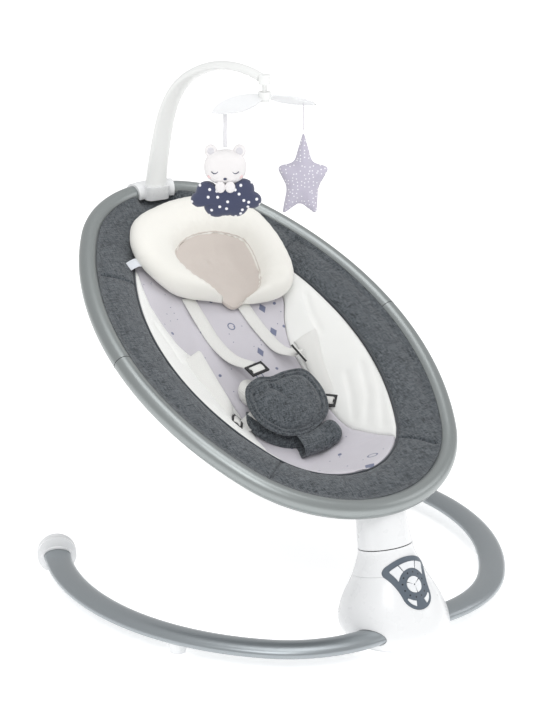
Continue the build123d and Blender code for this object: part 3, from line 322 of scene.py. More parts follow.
def metal_paint(name, colour, roughness, metallic):
    made = Material(name, colour, roughness, Metallic=metallic, Coat_Weight=0.25, Coat_Roughness=0.22)
    flake = made.noise(5200, 1)
    made.colour(made.mix(made.ramp(flake, 0.35, 0.72), Vector(colour) * 0.86, Vector(colour) * 1.12))
    made.rough(25, 4, roughness - 0.04, roughness + 0.06)
    made.bump(made.noise(3800, 2), 0.06, FINE)
    return made.material


def weave(made, pitch, strength, depth=THREAD):
    """Thread bump from two crossed waves, in the ring's own directions"""
    turned = made.mapped((-PITCH, 0, 0))
    across, along = (made.node("TexWave", {"bands_direction": way}, Vector=turned, Scale=0.314 / pitch,
                               Distortion=0.6, Detail=1.0).outputs["Fac"] for way in "XY")
    threads = made.times(across, along)
    lumps = made.noise(420, 3)
    made.bump(made.math("ADD", threads, made.times(lumps, 0.8)), strength, depth)
    return turned, threads


def woven(name, colour, dark, pitch=0.0011, strength=0.5, sheen=0.3, tone_and_thread_shade=0.35):
    """Cloth with painted shade between its threads, where it darkens towards dark, that can still take a
    print
    """
    made = Material(name, colour, 0.92, Sheen_Weight=sheen, Sheen_Roughness=0.5)
    _, threads = weave(made, pitch, strength)
    large = made.noise(14, 5)
    base = made.mix(made.ramp(large, 0.3, 0.75), Vector(colour) * (1 - 0.12 * tone_and_thread_shade), colour)
    # Painted shade: the colour darkens towards dark in the gaps between the threads
    made.colour(made.mix(made.times(made.ramp(threads, 0.5, 0.05), tone_and_thread_shade), base, dark))
    return made


def cloth(*values):
    """Plain woven cloth, with painted shade between its threads"""
    return woven(*values).material


def melange(name, dark, light, between_them):
    """Coarse cloth of mixed dark and light yarns, with slubs both ways and soft mottling"""
    made = Material(name, between_them, 0.95, Sheen_Weight=0.25, Sheen_Roughness=0.5)
    turned, _ = weave(made, 0.0014, 0.8, 1.5 * THREAD)
    slubs = [made.noise(1.0, 3, made.node("Mapping", Vector=turned, Scale=scale).outputs[0])
             for scale in ((700, 110, 300), (110, 700, 300))]
    heather = made.math("ADD", *(made.times(slub, 0.5) for slub in slubs))
    tone = made.mix(made.ramp(heather, 0.41, 0.59), dark, light)
    mottle = made.times(made.ramp(made.noise(70, 5), 0.42, 0.66), 0.45)
    made.colour(made.mix(mottle, tone, between_them))
    return made.material


charcoal = melange("charcoal_melange", (0.022, 0.028, 0.034), (0.135, 0.152, 0.168), (0.085, 0.098, 0.11))
# In the cloths below, the second colour is painted shade laid between the threads
piping = cloth("charcoal_piping", (0.06, 0.068, 0.08), (0.03, 0.034, 0.04), 0.0009, 0.4)
cream = cloth("cream_cotton", (0.95, 0.955, 0.935), (0.66, 0.67, 0.65), 0.0012, 0.45, 0.25, 0.4)
pillow_cloth = cloth("pillow_velour", (0.93, 0.92, 0.87), (0.72, 0.70, 0.64), 0.0010, 0.4, 0.4, 0.3)
beige_cloth = cloth("pillow_centre_velour", (0.68, 0.62, 0.575), (0.52, 0.46, 0.42), 0.0010, 0.4, 0.4, 0.4)
backing = cloth("backing_cloth", (0.075, 0.085, 0.10), (0.03, 0.035, 0.04), 0.0013, 0.5)
webbing = cloth("white_webbing", (0.91, 0.91, 0.885), (0.55, 0.55, 0.53), 0.0016, 0.8, 0.2, 0.5)
tag_cloth = cloth("tag_satin", (0.80, 0.83, 0.88), (0.62, 0.66, 0.72), 0.0007, 0.3)


def cells(made, flat, scale, jitter):
    """Cells of a flat pattern, each with its own point, and a random number for each"""
    cell = made.node("TexVoronoi", {"voronoi_dimensions": "2D"}, Vector=flat, Scale=scale, Randomness=jitter)
    return cell, made.node("SeparateColor", i0=cell.outputs["Color"]).outputs[0]


def motif_layer(made, scale, shift, jitter):
    """The distance to each cell's point, the same for a diamond, and a random number for the cell"""
    flat = made.node("Mapping", Vector=made.mapped((-PITCH, 0, 0), shift), Scale=(1, 1, 0)).outputs[0]
    cell, pick = cells(made, flat, scale, jitter)
    local = made.node("VectorMath", {"operation": "SUBTRACT"}, i0=flat, i1=cell.outputs["Position"])
    split = made.node("SeparateXYZ", i0=local.outputs[0])
    across, along = (made.math("ABSOLUTE", split.outputs[k]) for k in (0, 1))
    diamond = made.math("ADD", across, made.times(along, 0.7))
    radius = made.node("VectorMath", {"operation": "LENGTH"}, i0=local.outputs[0]).outputs["Value"]
    return radius, diamond, pick


# Lilac cotton with a generic print: rings, dots and small diamonds, one kind to a cell
# Its second colour is painted shade between the threads, not part of the print
lilac = woven("lilac_print", (0.64, 0.62, 0.665), (0.47, 0.455, 0.50), 0.0011, 0.35, 0.25, 0.3)
radius, diamond, pick = motif_layer(lilac, 19, (0.013, 0.02, 0), 0.85)
big_dot = lilac.times(lilac.ramp(radius, 0.0030, 0.0024), lilac.math("LESS_THAN", pick, 0.25))
ring_at = lilac.math("ABSOLUTE", lilac.math("SUBTRACT", radius, 0.0060))
ring_pick = lilac.times(lilac.math("GREATER_THAN", pick, 0.25), lilac.math("LESS_THAN", pick, 0.45))
ring = lilac.times(lilac.ramp(ring_at, 0.0013, 0.0008), ring_pick)
gem = lilac.times(lilac.ramp(diamond, 0.0070, 0.0062), lilac.math("GREATER_THAN", pick, 0.72))
small_radius, _, small_pick = motif_layer(lilac, 62, (0.041, 0.007, 0), 1.0)
specks = lilac.times(lilac.ramp(small_radius, 0.0011, 0.0008), lilac.math("LESS_THAN", small_pick, 0.22))
printed = lilac.math("MAXIMUM", lilac.math("MAXIMUM", big_dot, ring), lilac.math("MAXIMUM", gem, specks))
lilac.colour(lilac.mix(lilac.times(printed, 0.85), lilac.base_colour(), (0.10, 0.125, 0.23)))
lilac = lilac.material

lamp = plastic("lamp_plastic", (0.012, 0.014, 0.018), 0.25, 0.02, 0.3)
steel = metal_paint("steel", (0.52, 0.53, 0.55), 0.32, 1.0)
SLOT_MATERIALS = {
    "white_plastic": plastic("white_gloss_plastic", (0.83, 0.84, 0.85), 0.27, 0.04, 0.3),
    "arm_plastic": plastic("toy_bar_plastic", (0.82, 0.83, 0.82), 0.33, 0.04, 0.2),
    "button_plastic": plastic("button_plastic", (0.80, 0.82, 0.84), 0.3, 0.03, 0.2),
    "slate_plastic": plastic("slate_plastic", (0.10, 0.125, 0.155), 0.42, 0.10),
    "black_plastic": plastic("black_plastic", (0.012, 0.012, 0.014), 0.38, 0.10),
    "grey_plastic": plastic("grey_plastic", (0.28, 0.29, 0.31), 0.5, 0.08),
    "release_plastic": plastic("release_plastic", (0.55, 0.03, 0.02), 0.35, 0.05),
    "blade_plastic": plastic("blade_plastic", (0.93, 0.94, 0.95), 0.3, 0.0, 0.2, Transmission_Weight=0.3,
                             IOR=1.2),
    "board": plastic("board_laminate", (0.02, 0.16, 0.06), 0.4, 0.05),
    "rubber": plastic("rubber", (0.035, 0.035, 0.037), 0.85, 0.25),
    "copper": metal_paint("copper_winding", (0.65, 0.30, 0.14), 0.4, 1.0),
    "ring_paint": metal_paint("ring_paint", (0.31, 0.335, 0.335), 0.34, 0.7),
    "leg_paint": metal_paint("leg_paint", (0.33, 0.36, 0.38), 0.31, 0.7),
    "lamp_plastic": lamp, "steel": steel, "magnet": steel, "backing_fabric": backing,
    "charcoal_fabric": charcoal, "lilac_fabric": lilac, "cream_fabric": cream, "pillow_fabric": pillow_cloth,
    "tag_fabric": tag_cloth, "webbing": webbing,
}
for part in frame["record"]["subparts"]:
    made = SLOT_MATERIALS.get(part["material_slot"])
    node = frame["nodes"].get(part["node"])
    if made and node:
        node.data.materials.clear()
        node.data.materials.append(made)
        node.data.shade_smooth()


# ---- soft goods ----
def soft(x, s):
    """The pads' upper face with its section lines rounded off"""
    spots = ((0, 0), (9, 0), (-9, 0), (0, 9), (0, -9))
    return sum(surface(x + dx, s + ds) for dx, ds in spots) / len(spots)


def normal(x, s):
    """The pads' up direction in the ring's axes"""
    return Vector((soft(x - 8, s) - soft(x + 8, s), soft(x, s - 8) - soft(x, s + 8), 16)).normalized()


def dress(obj, slot_name, *nodes, fill=None, body="swing"):
    """The last steps for a piece: the CAD nodes that it replaces and its body; its stuffing and slot are not
    used
    """
    if nodes:
        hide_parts(*nodes)
    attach(obj, body)


# Insets from the ring's centre line, and thicknesses
EDGE = TUBE_R + 2.2  # the upholstery's outer edge, against the ring's tube
BORDER = TUBE_R + 66  # the border's inner edge
PANEL_EDGE = BORDER + 0.6  # the outer edge of the pads inside the border
PAD = 16  # thickness of the pads
SLING_GAP, SLING = 1.7, 2.6  # from the pads' lower face to the sling, and the sling's thickness


# Seat shell: the grey sling under the pads
def shell_point(drop):
    def at(i, j):
        s = EDGE + (1 - cos(pi * i)) / 2 * (LENGTH - 2 * EDGE)
        x = (2 * j - 1) * half_width(s, EDGE)
        d = max(EDGE, inset_of(x, s))
        return seat(x, s, soft(x, s) - PAD - SLING_GAP - drop * smooth((d - EDGE + 3) / 6))
    return at


seat_shell = pad("seat_sling", 72, 44, shell_point(0.0), shell_point(SLING), backing)
dress(seat_shell, "backing_fabric", "seat_shell")

# Border: a closed padded tube round the seat, puckered at its radial seams
STATIONS = 300
SEAMS = (0.0895, 0.357, 0.645, 0.899)  # shares of the way round the ring
SEAM_REACH = 14  # closer to a seam, the stations stand at SEAM_STEPS from it
SEAM_STEPS = (-11, -7, -4.5, -2.6, -1.2, 0, 1.2, 2.6, 4.5, 7, 11)
TUCK = radians(34)  # where the border meets the tube, over the ring's plane
PUFF, PINCH = 9.5, 3.6  # the border's height, and how deep its seams draw it in
NOTCH_HALF, NOTCH_START, NOTCH_DEEP = 44, 700, 12
stations = sorted({k / STATIONS for k in range(STATIONS)
                   if min(abs(k / STATIONS - seam) for seam in SEAMS) * ROUND > SEAM_REACH}
                  | {seam + step / ROUND for seam in SEAMS for step in SEAM_STEPS})


def bracket_notch(x, s):
    """How far the border is pressed down under the toy bar's bracket"""
    return NOTCH_DEEP * smooth((NOTCH_HALF - abs(x)) / 14) * smooth((s - NOTCH_START) / 22)


def puckers(t, f):
    """Short folds from the inner seam, strongest round the foot end"""
    foot = 0.35 + 0.65 * smooth((0.16 - min(t, 1 - t)) / 0.06)
    inner = exp(-((1 - f) / 0.42) ** 2)
    return foot * (2.3 * inner + 0.7) * ripple(t * ROUND, f * 26, 5, 15)


def border_ring(t):
    """The border's outline at a share t round the ring: over its upper face, then back under it"""
    gap = min(min(abs(t - seam), 1 - abs(t - seam)) for seam in SEAMS) * ROUND
    pinch = exp(-(gap / 2.6) ** 2)
    shoulder = exp(-(gap / 13) ** 2)
    start = TUBE_R * cos(TUCK) + 1.0
    ring = []
    for f in shares(30):
        inset = start + f * (BORDER - start - 1)
        x, s = egg(t, inset)
        tuck = (TUBE_R * sin(TUCK) + 3.6) * smooth((26 - inset) / 16)
        body = crown(f, 0.62)
        puff = PUFF * body * (1 - 0.16 * shoulder) - PINCH * pinch * smooth(body * 3)
        puff += puckers(t, f) * smooth(body * 1.6) + 0.9 * ripple(x, s, 3, 34) + 0.6 * ripple(x, s, 9, 12)
        ring.append(seat(x, s, soft(x, s) + max(tuck, puff + 0.6 * tuck) - bracket_notch(x, s)))
    for f in shares(9)[::-1]:
        x, s = egg(t, max(EDGE, TUBE_R + 1.4 + f * (BORDER - TUBE_R - 2.4)))
        ring.append(seat(x, s, soft(x, s) - PAD * (0.35 + 0.62 * crown(f, 0.4))))
    return ring


border = tube("border_pad_cover", [border_ring(t) for t in stations], charcoal)
dress(border, "charcoal_fabric", "border_pad", fill=0.75)

# Piping along the border's inner edge
CORD_INSET, CORD_R = BORDER - 0.4, 1.7
rows = []
for k in range(STATIONS):
    x, s = egg(k / STATIONS, CORD_INSET)
    ahead = Vector(egg((k + 1) / STATIONS, CORD_INSET)) - Vector((x, s))
    out = Vector((ahead.y, -ahead.x)).normalized() * CORD_R
    rows.append([seat(x + out.x * cos(a), s + out.y * cos(a), soft(x, s) + 2.2 + CORD_R * sin(a))
                 for a in turns(8)])
dress(tube("border_piping", rows, piping), "charcoal_fabric")

# The joints of the ring's two halves: a dark line round the tube on each side
JOINT_GROOVE = ((-0.7, -0.4), (-0.5, 0.25), (0.5, 0.25), (0.7, -0.4))  # along the tube, over its skin
for share, hand in ((0.25295, "right"), (0.74705, "left")):
    rows = []
    for along, over in JOINT_GROOVE:
        x, s = egg(share + along / ROUND, 0)
        inner = (Vector(egg(share + along / ROUND, 10)) - Vector((x, s))).normalized()
        size = TUBE_R + over
        rows.append([seat(x + inner.x * size * cos(a), s + inner.y * size * cos(a), size * sin(a))
                     for a in turns(48)])
    dress(tube(f"{hand}_ring_joint", rows, lamp, closed=False, caps=False), "black_plastic")

# Middle panel: its edges as (along, half width), left and right
LEFT_STOPS = ((60, 150), (110, 128), (135, 112), (160, 92), (190, 72), (226, 59), (271, 61), (312, 67),
              (369, 73), (414, 91), (436, 115), (471, 127), (510, 133), (548, 129), (580, 121), (700, 121))
RIGHT_STOPS = ((60, 170), (132, 107), (156, 101), (191, 93), (207, 88), (229, 87), (395, 90), (423, 95),
               (453, 105), (482, 119), (560, 125), (700, 125))
FOOT_MIDDLE = Vector((0, 205))
SUNK, PANEL_PUFF = 1.5, 4.5  # the pads' edges under their upper face, and their height over it


def panel_edge(s, side):
    """How far the printed middle panel reaches: narrow at the waist and wide at both ends"""
    stops = RIGHT_STOPS if side > 0 else LEFT_STOPS
    for (a, wa), (b, wb) in zip(stops, stops[1:]):
        if s <= b:
            return wa + (wb - wa) * max(0.0, (s - a) / (b - a))
    return stops[-1][1]


def creases(x, s, strength):
    """Slack cloth: long soft folds across the waist, and a finer crumple"""
    fold = ripple(x * 0.55, s * 1.5, 40, 52)
    fine = ripple(x * 1.2, s * 0.9, 11, 17)
    return strength * (1.6 * fold + 0.55 * fine)


def foot_folds(x, s, rim):
    """Round the foot the border gathers the printed panel into soft lumps that fan out to its edge"""
    away = Vector((x, s)) - FOOT_MIDDLE
    turn = atan2(away.y, away.x)
    gather = exp(-(sin(5 * turn + 1.1 * sin(3 * turn + 0.4)) / 0.2) ** 2)
    fan = 0.5 * sin(9 * turn + 1.7 * sin(2.3 * turn + 0.4)) - 1.6 * gather
    reach = smooth(away.length / 90 - 0.3)
    return smooth((235 - s) / 60) * rim * (7 * rim + 4.5 * fan * reach)


def middle_point(up):
    def at(i, j):
        s = PANEL_EDGE + (1 - cos(pi * i)) / 2 * (LENGTH - 2 * PANEL_EDGE)
        edge = half_width(s, PANEL_EDGE)
        left, right = min(panel_edge(s, -1), edge), min(panel_edge(s, 1), edge)
        x = j * right - (1 - j) * left
        rim = crown(j, 0.35)
        if not up:
            return seat(x, s, soft(x, s) - PAD * (0.25 + 0.7 * rim))
        puff = PANEL_PUFF * rim + creases(x, s, 1.3) * rim + foot_folds(x, s, rim)
        return seat(x, s, soft(x, s) - SUNK + puff)
    return at


centre = pad("middle_panel", 150, 70, middle_point(True), middle_point(False), lilac)
dress(centre, "lilac_fabric", "centre_pad", fill=0.45)

# Side cushions: their ends along the seat, and the lines of their sewn channels as (across, along)
SIDE_LOW, SIDE_HIGH, SIDE_PUFF, CHANNEL_DEPTH = 128.0, 604.0, 6.5, 3.4
CHANNELS = (((132, 300), (115, 254), (97, 218)), ((155, 298), (133, 241), (102, 193)),
            ((176, 300), (148, 232), (109, 165)), ((150, 470), (142, 430), (139, 396)))


def off_line(place, a, b):
    """The distance of a place from the line between a and b"""
    share = min(1.0, max(0.0, (place - a).dot(b - a) / (b - a).length_squared))
    return (place - a.lerp(b, share)).length


def channel(x, s):
    """How deep the sewn channels press a side cushion in, from 0 to 1"""
    return max(exp(-(off_line(Vector((x, s)), Vector(a), Vector(b)) / 5) ** 2)
               for line in CHANNELS for a, b in zip(line, line[1:]))


def side_point(side, up):
    def at(i, j):
        s = SIDE_LOW + i * (SIDE_HIGH - SIDE_LOW)
        outer = half_width(s, PANEL_EDGE)
        inner = min(panel_edge(s, side) + 0.8, outer - 0.8)
        x = inner + j * (outer - inner)
        width = outer - inner
        rim = crown(j, 0.4) * smooth(width / 14)
        if not up:
            return seat(side * x, s, soft(x, s) - PAD * (0.25 + 0.7 * rim))
        puff = SIDE_PUFF * rim - CHANNEL_DEPTH * channel(x, s) * rim + creases(side * x, s, 0.7) * rim
        return seat(side * x, s, soft(x, s) - SUNK + puff)
    return at


def mirrored(at):
    """The same grid the other way, so that a left piece's skin faces outwards"""
    return lambda i, j: at(i, 1 - j)


for side, hand in HANDS:
    faces = [side_point(side, up) for up in (True, False)]
    if side < 0:
        faces = [mirrored(at) for at in faces]
    piece = pad(f"{hand}_side_cushion", 120, 40, *faces, cream, subdivide=0)
    dress(piece, "cream_fabric", "side_pads", fill=0.55)

# Head pillow: a horseshoe roll round a dished middle in its own cloth, which runs down to a tip
PILLOW_MIDDLE = Vector((20, 592))
PILLOW_EDGE = ((142, 514), (147, 560), (147, 606), (140, 643), (121, 673), (86, 695), (48, 707), (4, 707),
               (-46, 695), (-86, 676), (-109, 646), (-121, 612), (-120, 583), (-103, 554), (-79, 532),
               (-48, 519), (-10, 508), (24, 499), (76, 485), (110, 480), (130, 489))
INLAY_MIDDLE = Vector((30, 570))
INLAY_EDGE = ((96, 572), (92, 600), (77, 617), (57, 630), (34, 635), (8, 634), (-14, 626), (-34, 611),
              (-42, 588), (-34, 556), (-18, 526), (2, 507), (20, 491), (42, 495), (62, 500), (80, 510),
              (91, 533))
SEAM_LEVEL, CREST, LYING = 17, 27, 4.5  # the inlay's seam, the roll over it, and the whole over the pads
DISH, DISH_RUN = 8, 34  # how deep the inlay's middle lies, and how far from its seam
NECK = 0.03 - pi / 2  # direction of the tip from the pillow's middle
TURN_UP = 0.72  # the share of the pillow's lower face that lies flat


def radial(edge, middle):
    """The distance of a closed outline from its middle, by direction"""
    spots = sorted((atan2(*(p - middle).yx), (p - middle).length) for p in edge)
    spots = [(spots[-1][0] - 2 * pi, spots[-1][1])] + spots + [(spots[0][0] + 2 * pi, spots[0][1])]

    def at(direction):
        for (a, near), (b, far) in zip(spots, spots[1:]):
            if direction <= b:
                return near + (far - near) * (direction - a) / (b - a)
        return spots[-1][1]
    return at


pillow_edge = spline(PILLOW_EDGE, 160, closed=True)
inlay_edge = spline(INLAY_EDGE, 120, closed=True)
pillow_reach = radial(pillow_edge, PILLOW_MIDDLE)
inlay_reach = radial(inlay_edge, INLAY_MIDDLE)


def at_neck(direction):
    """1 towards the pillow's tip, where it is flatter"""
    return exp(-((direction - NECK) / 0.42) ** 2)


def pillow_level(place):
    """Height of the pillow over the pads, and how far inside the inlay's seam the place is"""
    out, out_inlay = place - PILLOW_MIDDLE, place - INLAY_MIDDLE
    direction, way = atan2(out.y, out.x), atan2(out_inlay.y, out_inlay.x)
    to_edge = max(0.0, pillow_reach(direction) - out.length)
    past_seam = out_inlay.length - inlay_reach(way)
    neck = at_neck(direction)
    seam = SEAM_LEVEL * (1 - 0.55 * neck)
    if past_seam <= 0:
        return seam - DISH * smooth(-past_seam / DISH_RUN) * (1 - neck), -past_seam
    across = past_seam / (past_seam + to_edge + 0.001)
    swell = max(0.0, 1 - abs(2 * across - 1) ** 2.3) ** 0.55
    gather = 1.5 * exp(-past_seam / 15) * sin(34 * way + 3 * ripple(place.x, place.y, 7, 50))
    gather += 0.8 * exp(-to_edge / 10) * sin(46 * direction + 3 * ripple(place.x, place.y, 2, 40))
    return seam + CREST * (1 - 0.72 * neck) * swell + gather * swell**0.5, -past_seam


def pillow_point(edge, share, under):
    """A point of the pillow's upper or lower face, at a share of the way to its edge"""
    place = PILLOW_MIDDLE + (edge - PILLOW_MIDDLE) * share
    out = edge - PILLOW_MIDDLE
    if under:
        seam = SEAM_LEVEL * (1 - 0.55 * at_neck(atan2(out.y, out.x)))
        turned = max(0.0, (share - TURN_UP) / (1 - TURN_UP))
        return seat(*place, soft(*place) + LYING + seam * (1 - sqrt(1 - turned * turned)) - 0.3)
    level, inside = pillow_level(place)
    level -= 4 * smooth((inside - 2) / 5)
    level += 1.1 * ripple(*place, 21, 30) + 0.4 * ripple(*place, 5, 11)
    return seat(*place, soft(*place) + LYING + level)


SHARES = (0.02, 0.12, 0.22, 0.30, 0.36, 0.41, 0.45, 0.49, 0.53, 0.57, 0.61, 0.65, 0.69, 0.73, 0.77, 0.81,
          0.85, 0.885, 0.915, 0.94, 0.96, 0.976, 0.988, 0.996, 1.0)
rings = [[pillow_point(edge, f, under) for edge in pillow_edge]
         for under, row in ((False, SHARES), (True, SHARES[-2::-1])) for f in row]
pillow = tube("head_pillow_roll", rings[::-1], pillow_cloth, closed=False)
dress(pillow, "pillow_fabric", "head_pillow", fill=0.8)


def inlay_point(edge, share, lift):
    """A point of the inlay's upper face, or of its lower face where the lift is negative"""
    place = INLAY_MIDDLE + (edge - INLAY_MIDDLE) * share
    level, _ = pillow_level(place)
    folds = (2.2 * ripple(place.x * 1.3, place.y, 61, 30) + 0.8 * ripple(*place, 8, 11)) * (1 - share**5)
    tip = smooth((506 - place.y) / 12)
    return seat(*place, soft(*place) + LYING + level - 3 * tip + lift + (folds if lift > 0 else 0))


INLAY_SHARES = [0.01] + [k / 24 for k in range(2, 24)] + [0.98, 1.0]
rings = [[inlay_point(edge, f, lift) for edge in inlay_edge]
         for lift, row in ((1.6, INLAY_SHARES), (-1.5, INLAY_SHARES[::-1])) for f in row]
inlay = tube("pillow_inlay", rings[::-1], beige_cloth, closed=False)
dress(inlay, "pillow_fabric", fill=0.3)

SEAM_R = 1.1
rings = []
for edge in inlay_edge:
    place = INLAY_MIDDLE + (edge - INLAY_MIDDLE) * 1.004
    away = (place - INLAY_MIDDLE).normalized()
    level = soft(*place) + LYING + pillow_level(place)[0] + 1.2
    rings.append([seat(*(place + away * SEAM_R * cos(a)), level + SEAM_R * sin(a)) for a in turns(6)])
dress(tube("pillow_seam", rings, beige_cloth), "pillow_fabric")


# ---- straps, buckle covers and tag ----
def ribbon(name, points, width, thick, material, material_slot, nodes=(), steps=14, taper=None):
    """Webbing through (across, along, up, normal) stations in the ring's axes"""
    line = spline([p[:3] for p in points], steps * (len(points) - 1))
    ups = spline([tuple(p[3]) for p in points], steps * (len(points) - 1))
    rings = []
    for k, (place, up) in enumerate(zip(line, ups)):
        ahead = line[min(k + 1, len(line) - 1)] - line[max(k - 1, 0)]
        ahead.normalize()
        across = ahead.cross(up).normalized()
        lift = across.cross(ahead)
        half, t = width / 2, thick / 2
        if taper:
            half *= taper(k / (len(line) - 1))
        upper = ((-half, 0), (-half + 0.6, t), (-half / 3, t * 1.1), (half / 3, t * 1.1), (half - 0.6, t))
        shape = upper + tuple((-a, -b) for a, b in upper)
        rings.append([seat(*(place + across * a + lift * b)) for a, b in shape])
    made = tube(name, rings, material, closed=False)
    dress(made, material_slot, *nodes)
    return made


def strap(name, points, width, thick, *nodes, **values):
    """A ribbon of the white webbing"""
    ribbon(name, points, width, thick, webbing, "webbing", nodes, **values)


def on_pad(x, s, lift, lean=(0, 0, 0)):
    """A ribbon's station over the pads, its face leaning from theirs"""
    return (x, s, soft(x, s) + lift, (normal(x, s) + Vector(lean)).normalized())


STRAP = (25, 1.6)  # width and thickness
# Shoulder straps: out from under the pillow, down the middle panel and up into their adjusters
strap("left_shoulder_web",
      (on_pad(-47, 530, 6), on_pad(-46, 485, 6.5), on_pad(-42, 437, 5.5), on_pad(-33, 396, 12),
       (-23, 361, -42, normal(-23, 361))), *STRAP, "shoulder_straps")
strap("right_shoulder_web",
      (on_pad(45, 530, 6), on_pad(46, 485, 6.5), on_pad(54, 437, 5.5), on_pad(64, 396, 10),
       (72, 360, -37, normal(72, 360))), *STRAP, "shoulder_straps")
# Waist straps: down the side pads from the hip slots, the left one looser, then in to the buckle
LEVEL = (0, 0, 1)
for side, hand in HANDS:
    lean, loose = ((-0.7, -0.3, 0.2), 5) if side < 0 else ((0, 0, 0), 0)
    strap(f"{hand}_hip_web",
          (on_pad(side * 117, 414, -3), on_pad(side * 115, 402, 6 + loose, lean),
           on_pad(side * 111, 384, 9.5 + loose, lean), on_pad(side * 104, 345, 7.5 + loose, lean),
           on_pad(side * 99, 312, 6 + loose / 2, lean), on_pad(side * 95, 289, 2.6)),
          27, 1.8, "waist_straps", taper=lambda f: 1.7 - 0.7 * smooth(f * 1.3))
    strap(f"{hand}_waist_web",
          (on_pad(side * 80, 272, 2.4), on_pad(side * 66, 277, 8, (0, 0, 0.5)),
           (side * 46, 282, -68.5, LEVEL), (side * 27.4, 282, -67.5, LEVEL)), *STRAP, "waist_straps")
# The left shoulder strap's loose end turns back in a loop beside the pad
LOOP = ((-24, 336, 18, (-0.2, 0.3, 1)), (-38, 341, 20, (-0.6, 0.2, 1)), (-50, 333, 19, (-1, 0, 0.6)),
        (-54, 321, 15, (-1, 0, 0.1)), (-50, 309, 10, (-0.8, -0.3, -0.5)), (-36, 303, 6, (-0.2, -0.3, -1)))
strap("left_loose_loop", [(x, y, soft(x, y) + lift, up) for x, y, lift, up in LOOP], 17, 1.6, steps=10)

# Short runs of webbing over the adjusters' middle bars, along each one's own axes
ADJUSTERS = {"left_waist": (-88, 281, -45), "right_waist": (88, 281, -45),
             "left_shoulder": (-23, 350, -45), "right_shoulder": (80, 350, -45)}
WEB_HALF, WEB_RUN = 12.4, 8.6
WEB_SHAPE = ((-1, 0), (-0.97, 0.6), (0, 0.75), (0.97, 0.6), (1, 0), (0.97, -0.6), (0, -0.7), (-0.97, -0.6))
corners = [Vector(v.co) for v in frame["nodes"]["strap_adjusters"].data.vertices]
spots = {hand: Vector(seat(*place)) for hand, place in ADJUSTERS.items()}
nearest = [min(spots, key=lambda hand: (corner - spots[hand]).length) for corner in corners]
for hand in ADJUSTERS:
    mine = [corner for corner, owner in zip(corners, nearest) if owner == hand]
    middle = sum(mine, Vector()) / len(mine)
    spread = np.array([corner - middle for corner in mine])
    _, ways = np.linalg.eigh(spread.T @ spread)
    thin, short, wide = (Vector(ways[:, k]) for k in range(3))
    if thin.dot(UP) < 0:
        thin = -thin
    rows = []
    for k in range(9):
        f = k / 4 - 1
        rise = 2.3 - 3.0 * abs(f) ** 2.2
        rows.append([middle + (short * f * WEB_RUN + wide * a * WEB_HALF + thin * (rise + b)) * MM
                     for a, b in WEB_SHAPE])
    dress(tube(f"{hand}_adjuster_web", rows, webbing, closed=False), "webbing")

strap("crotch_web", (on_pad(0, 229, 2.5), on_pad(0, 243, 8), on_pad(0, 259, 20.5)), 40, 2.4, "crotch_strap")

# Crotch pad: a piped shield, tilted over the buckle
TILT = radians(20)
BUCKLE_S, BUCKLE_N = 282, -70
SHIELD_EDGE = ((54, 50), (70, 26), (74, -4), (63, -31), (33, -48), (-1, -54), (-34, -46), (-60, -22),
               (-69, 8), (-60, 39), (-32, 52), (-8, 49), (20, 53))
# Share of the outline and height over the buckle, over the upper face and back under it
SHIELD_LEVELS = ((0.03, 28.6), (0.15, 28.5), (0.28, 28.2), (0.4, 27.7), (0.5, 27.1), (0.6, 26.2),
                 (0.69, 25.0), (0.76, 23.4), (0.80, 21.9), (0.825, 20.2), (0.84, 19.2), (0.855, 20.0),
                 (0.87, 20.9), (0.895, 21.3), (0.92, 20.9), (0.935, 19.8), (0.945, 18.9), (0.96, 19.3),
                 (0.985, 18.6), (1.0, 17.2), (0.985, 15.6), (0.9, 15.0), (0.5, 14.9), (0.04, 14.9))
# Creases in it: from, to and depth
FOLDS = ((Vector((-56, 26)), Vector((-18, 32)), 4.8), (Vector((-18, 32)), Vector((-6, 18)), 3.4),
         (Vector((-34, -10)), Vector((-20, -34)), 1.6), (Vector((30, 8)), Vector((40, -14)), 1.4))
PIPE_LEVEL, PIPE_R = 17.6, 2.5


def shield(x, y, up):
    """A point of the tilted pad: across, towards the head and over the buckle's top"""
    return seat(x, BUCKLE_S + y * cos(TILT) - up * sin(TILT), BUCKLE_N + y * sin(TILT) + up * cos(TILT))


def shield_ring(share, up):
    """The pad's outline at one share of its size and one height, with its waves and creases"""
    ring = []
    for place in shield_edge:
        here = place * share
        wave = 0.9 * ripple(*here, 31, 22) + 0.4 * ripple(*here, 4, 9)
        for a, b, deep in FOLDS:
            wave -= deep * exp(-(off_line(here, a, b) / 5.5) ** 2) * smooth((0.97 - share) / 0.2)
        ring.append(shield(*here, up + wave))
    return ring


shield_edge = spline(SHIELD_EDGE, 130, closed=True)
shield_pad = tube("crotch_pad_cover", [shield_ring(*level) for level in SHIELD_LEVELS[::-1]], charcoal,
                  closed=False)
dress(shield_pad, "charcoal_fabric", "crotch_pad", fill=0.6)
rings = [[shield(*(place + place.normalized() * PIPE_R * cos(a)), PIPE_LEVEL + PIPE_R * sin(a))
          for a in turns(10)] for place in shield_edge]
dress(tube("crotch_pad_piping", rings, charcoal), "charcoal_fabric")


# Crotch sleeve: a fat roll, open on its left, and the flap that joins it to the pad
ROLL_LEFT, ROLL_LENGTH, ROLL_S = -7, 75, 213
ROLL_HALF, ROLL_HIGH, ROLL_LEVEL = 22, 13.5, 16  # half its width and height, and its middle over the pads


def roll_ring(f, size, inset=0.0):
    """A ring round the roll, at a share f of its length from its open end"""
    x, mid = ROLL_LEFT + ROLL_LENGTH * f, ROLL_S + 4 * f
    ring = []
    for a, (c, q) in zip(turns(32), superellipse(32, 2.7)):
        y = mid + ROLL_HALF * size * c
        up = ROLL_LEVEL + (ROLL_HIGH - inset) * size * q + 0.9 * ripple(x, y, 9 * sin(a), 15) * size
        ring.append(seat(x, y, soft(x, mid) * 0.6 + soft(x, y) * 0.4 + up))
    return ring


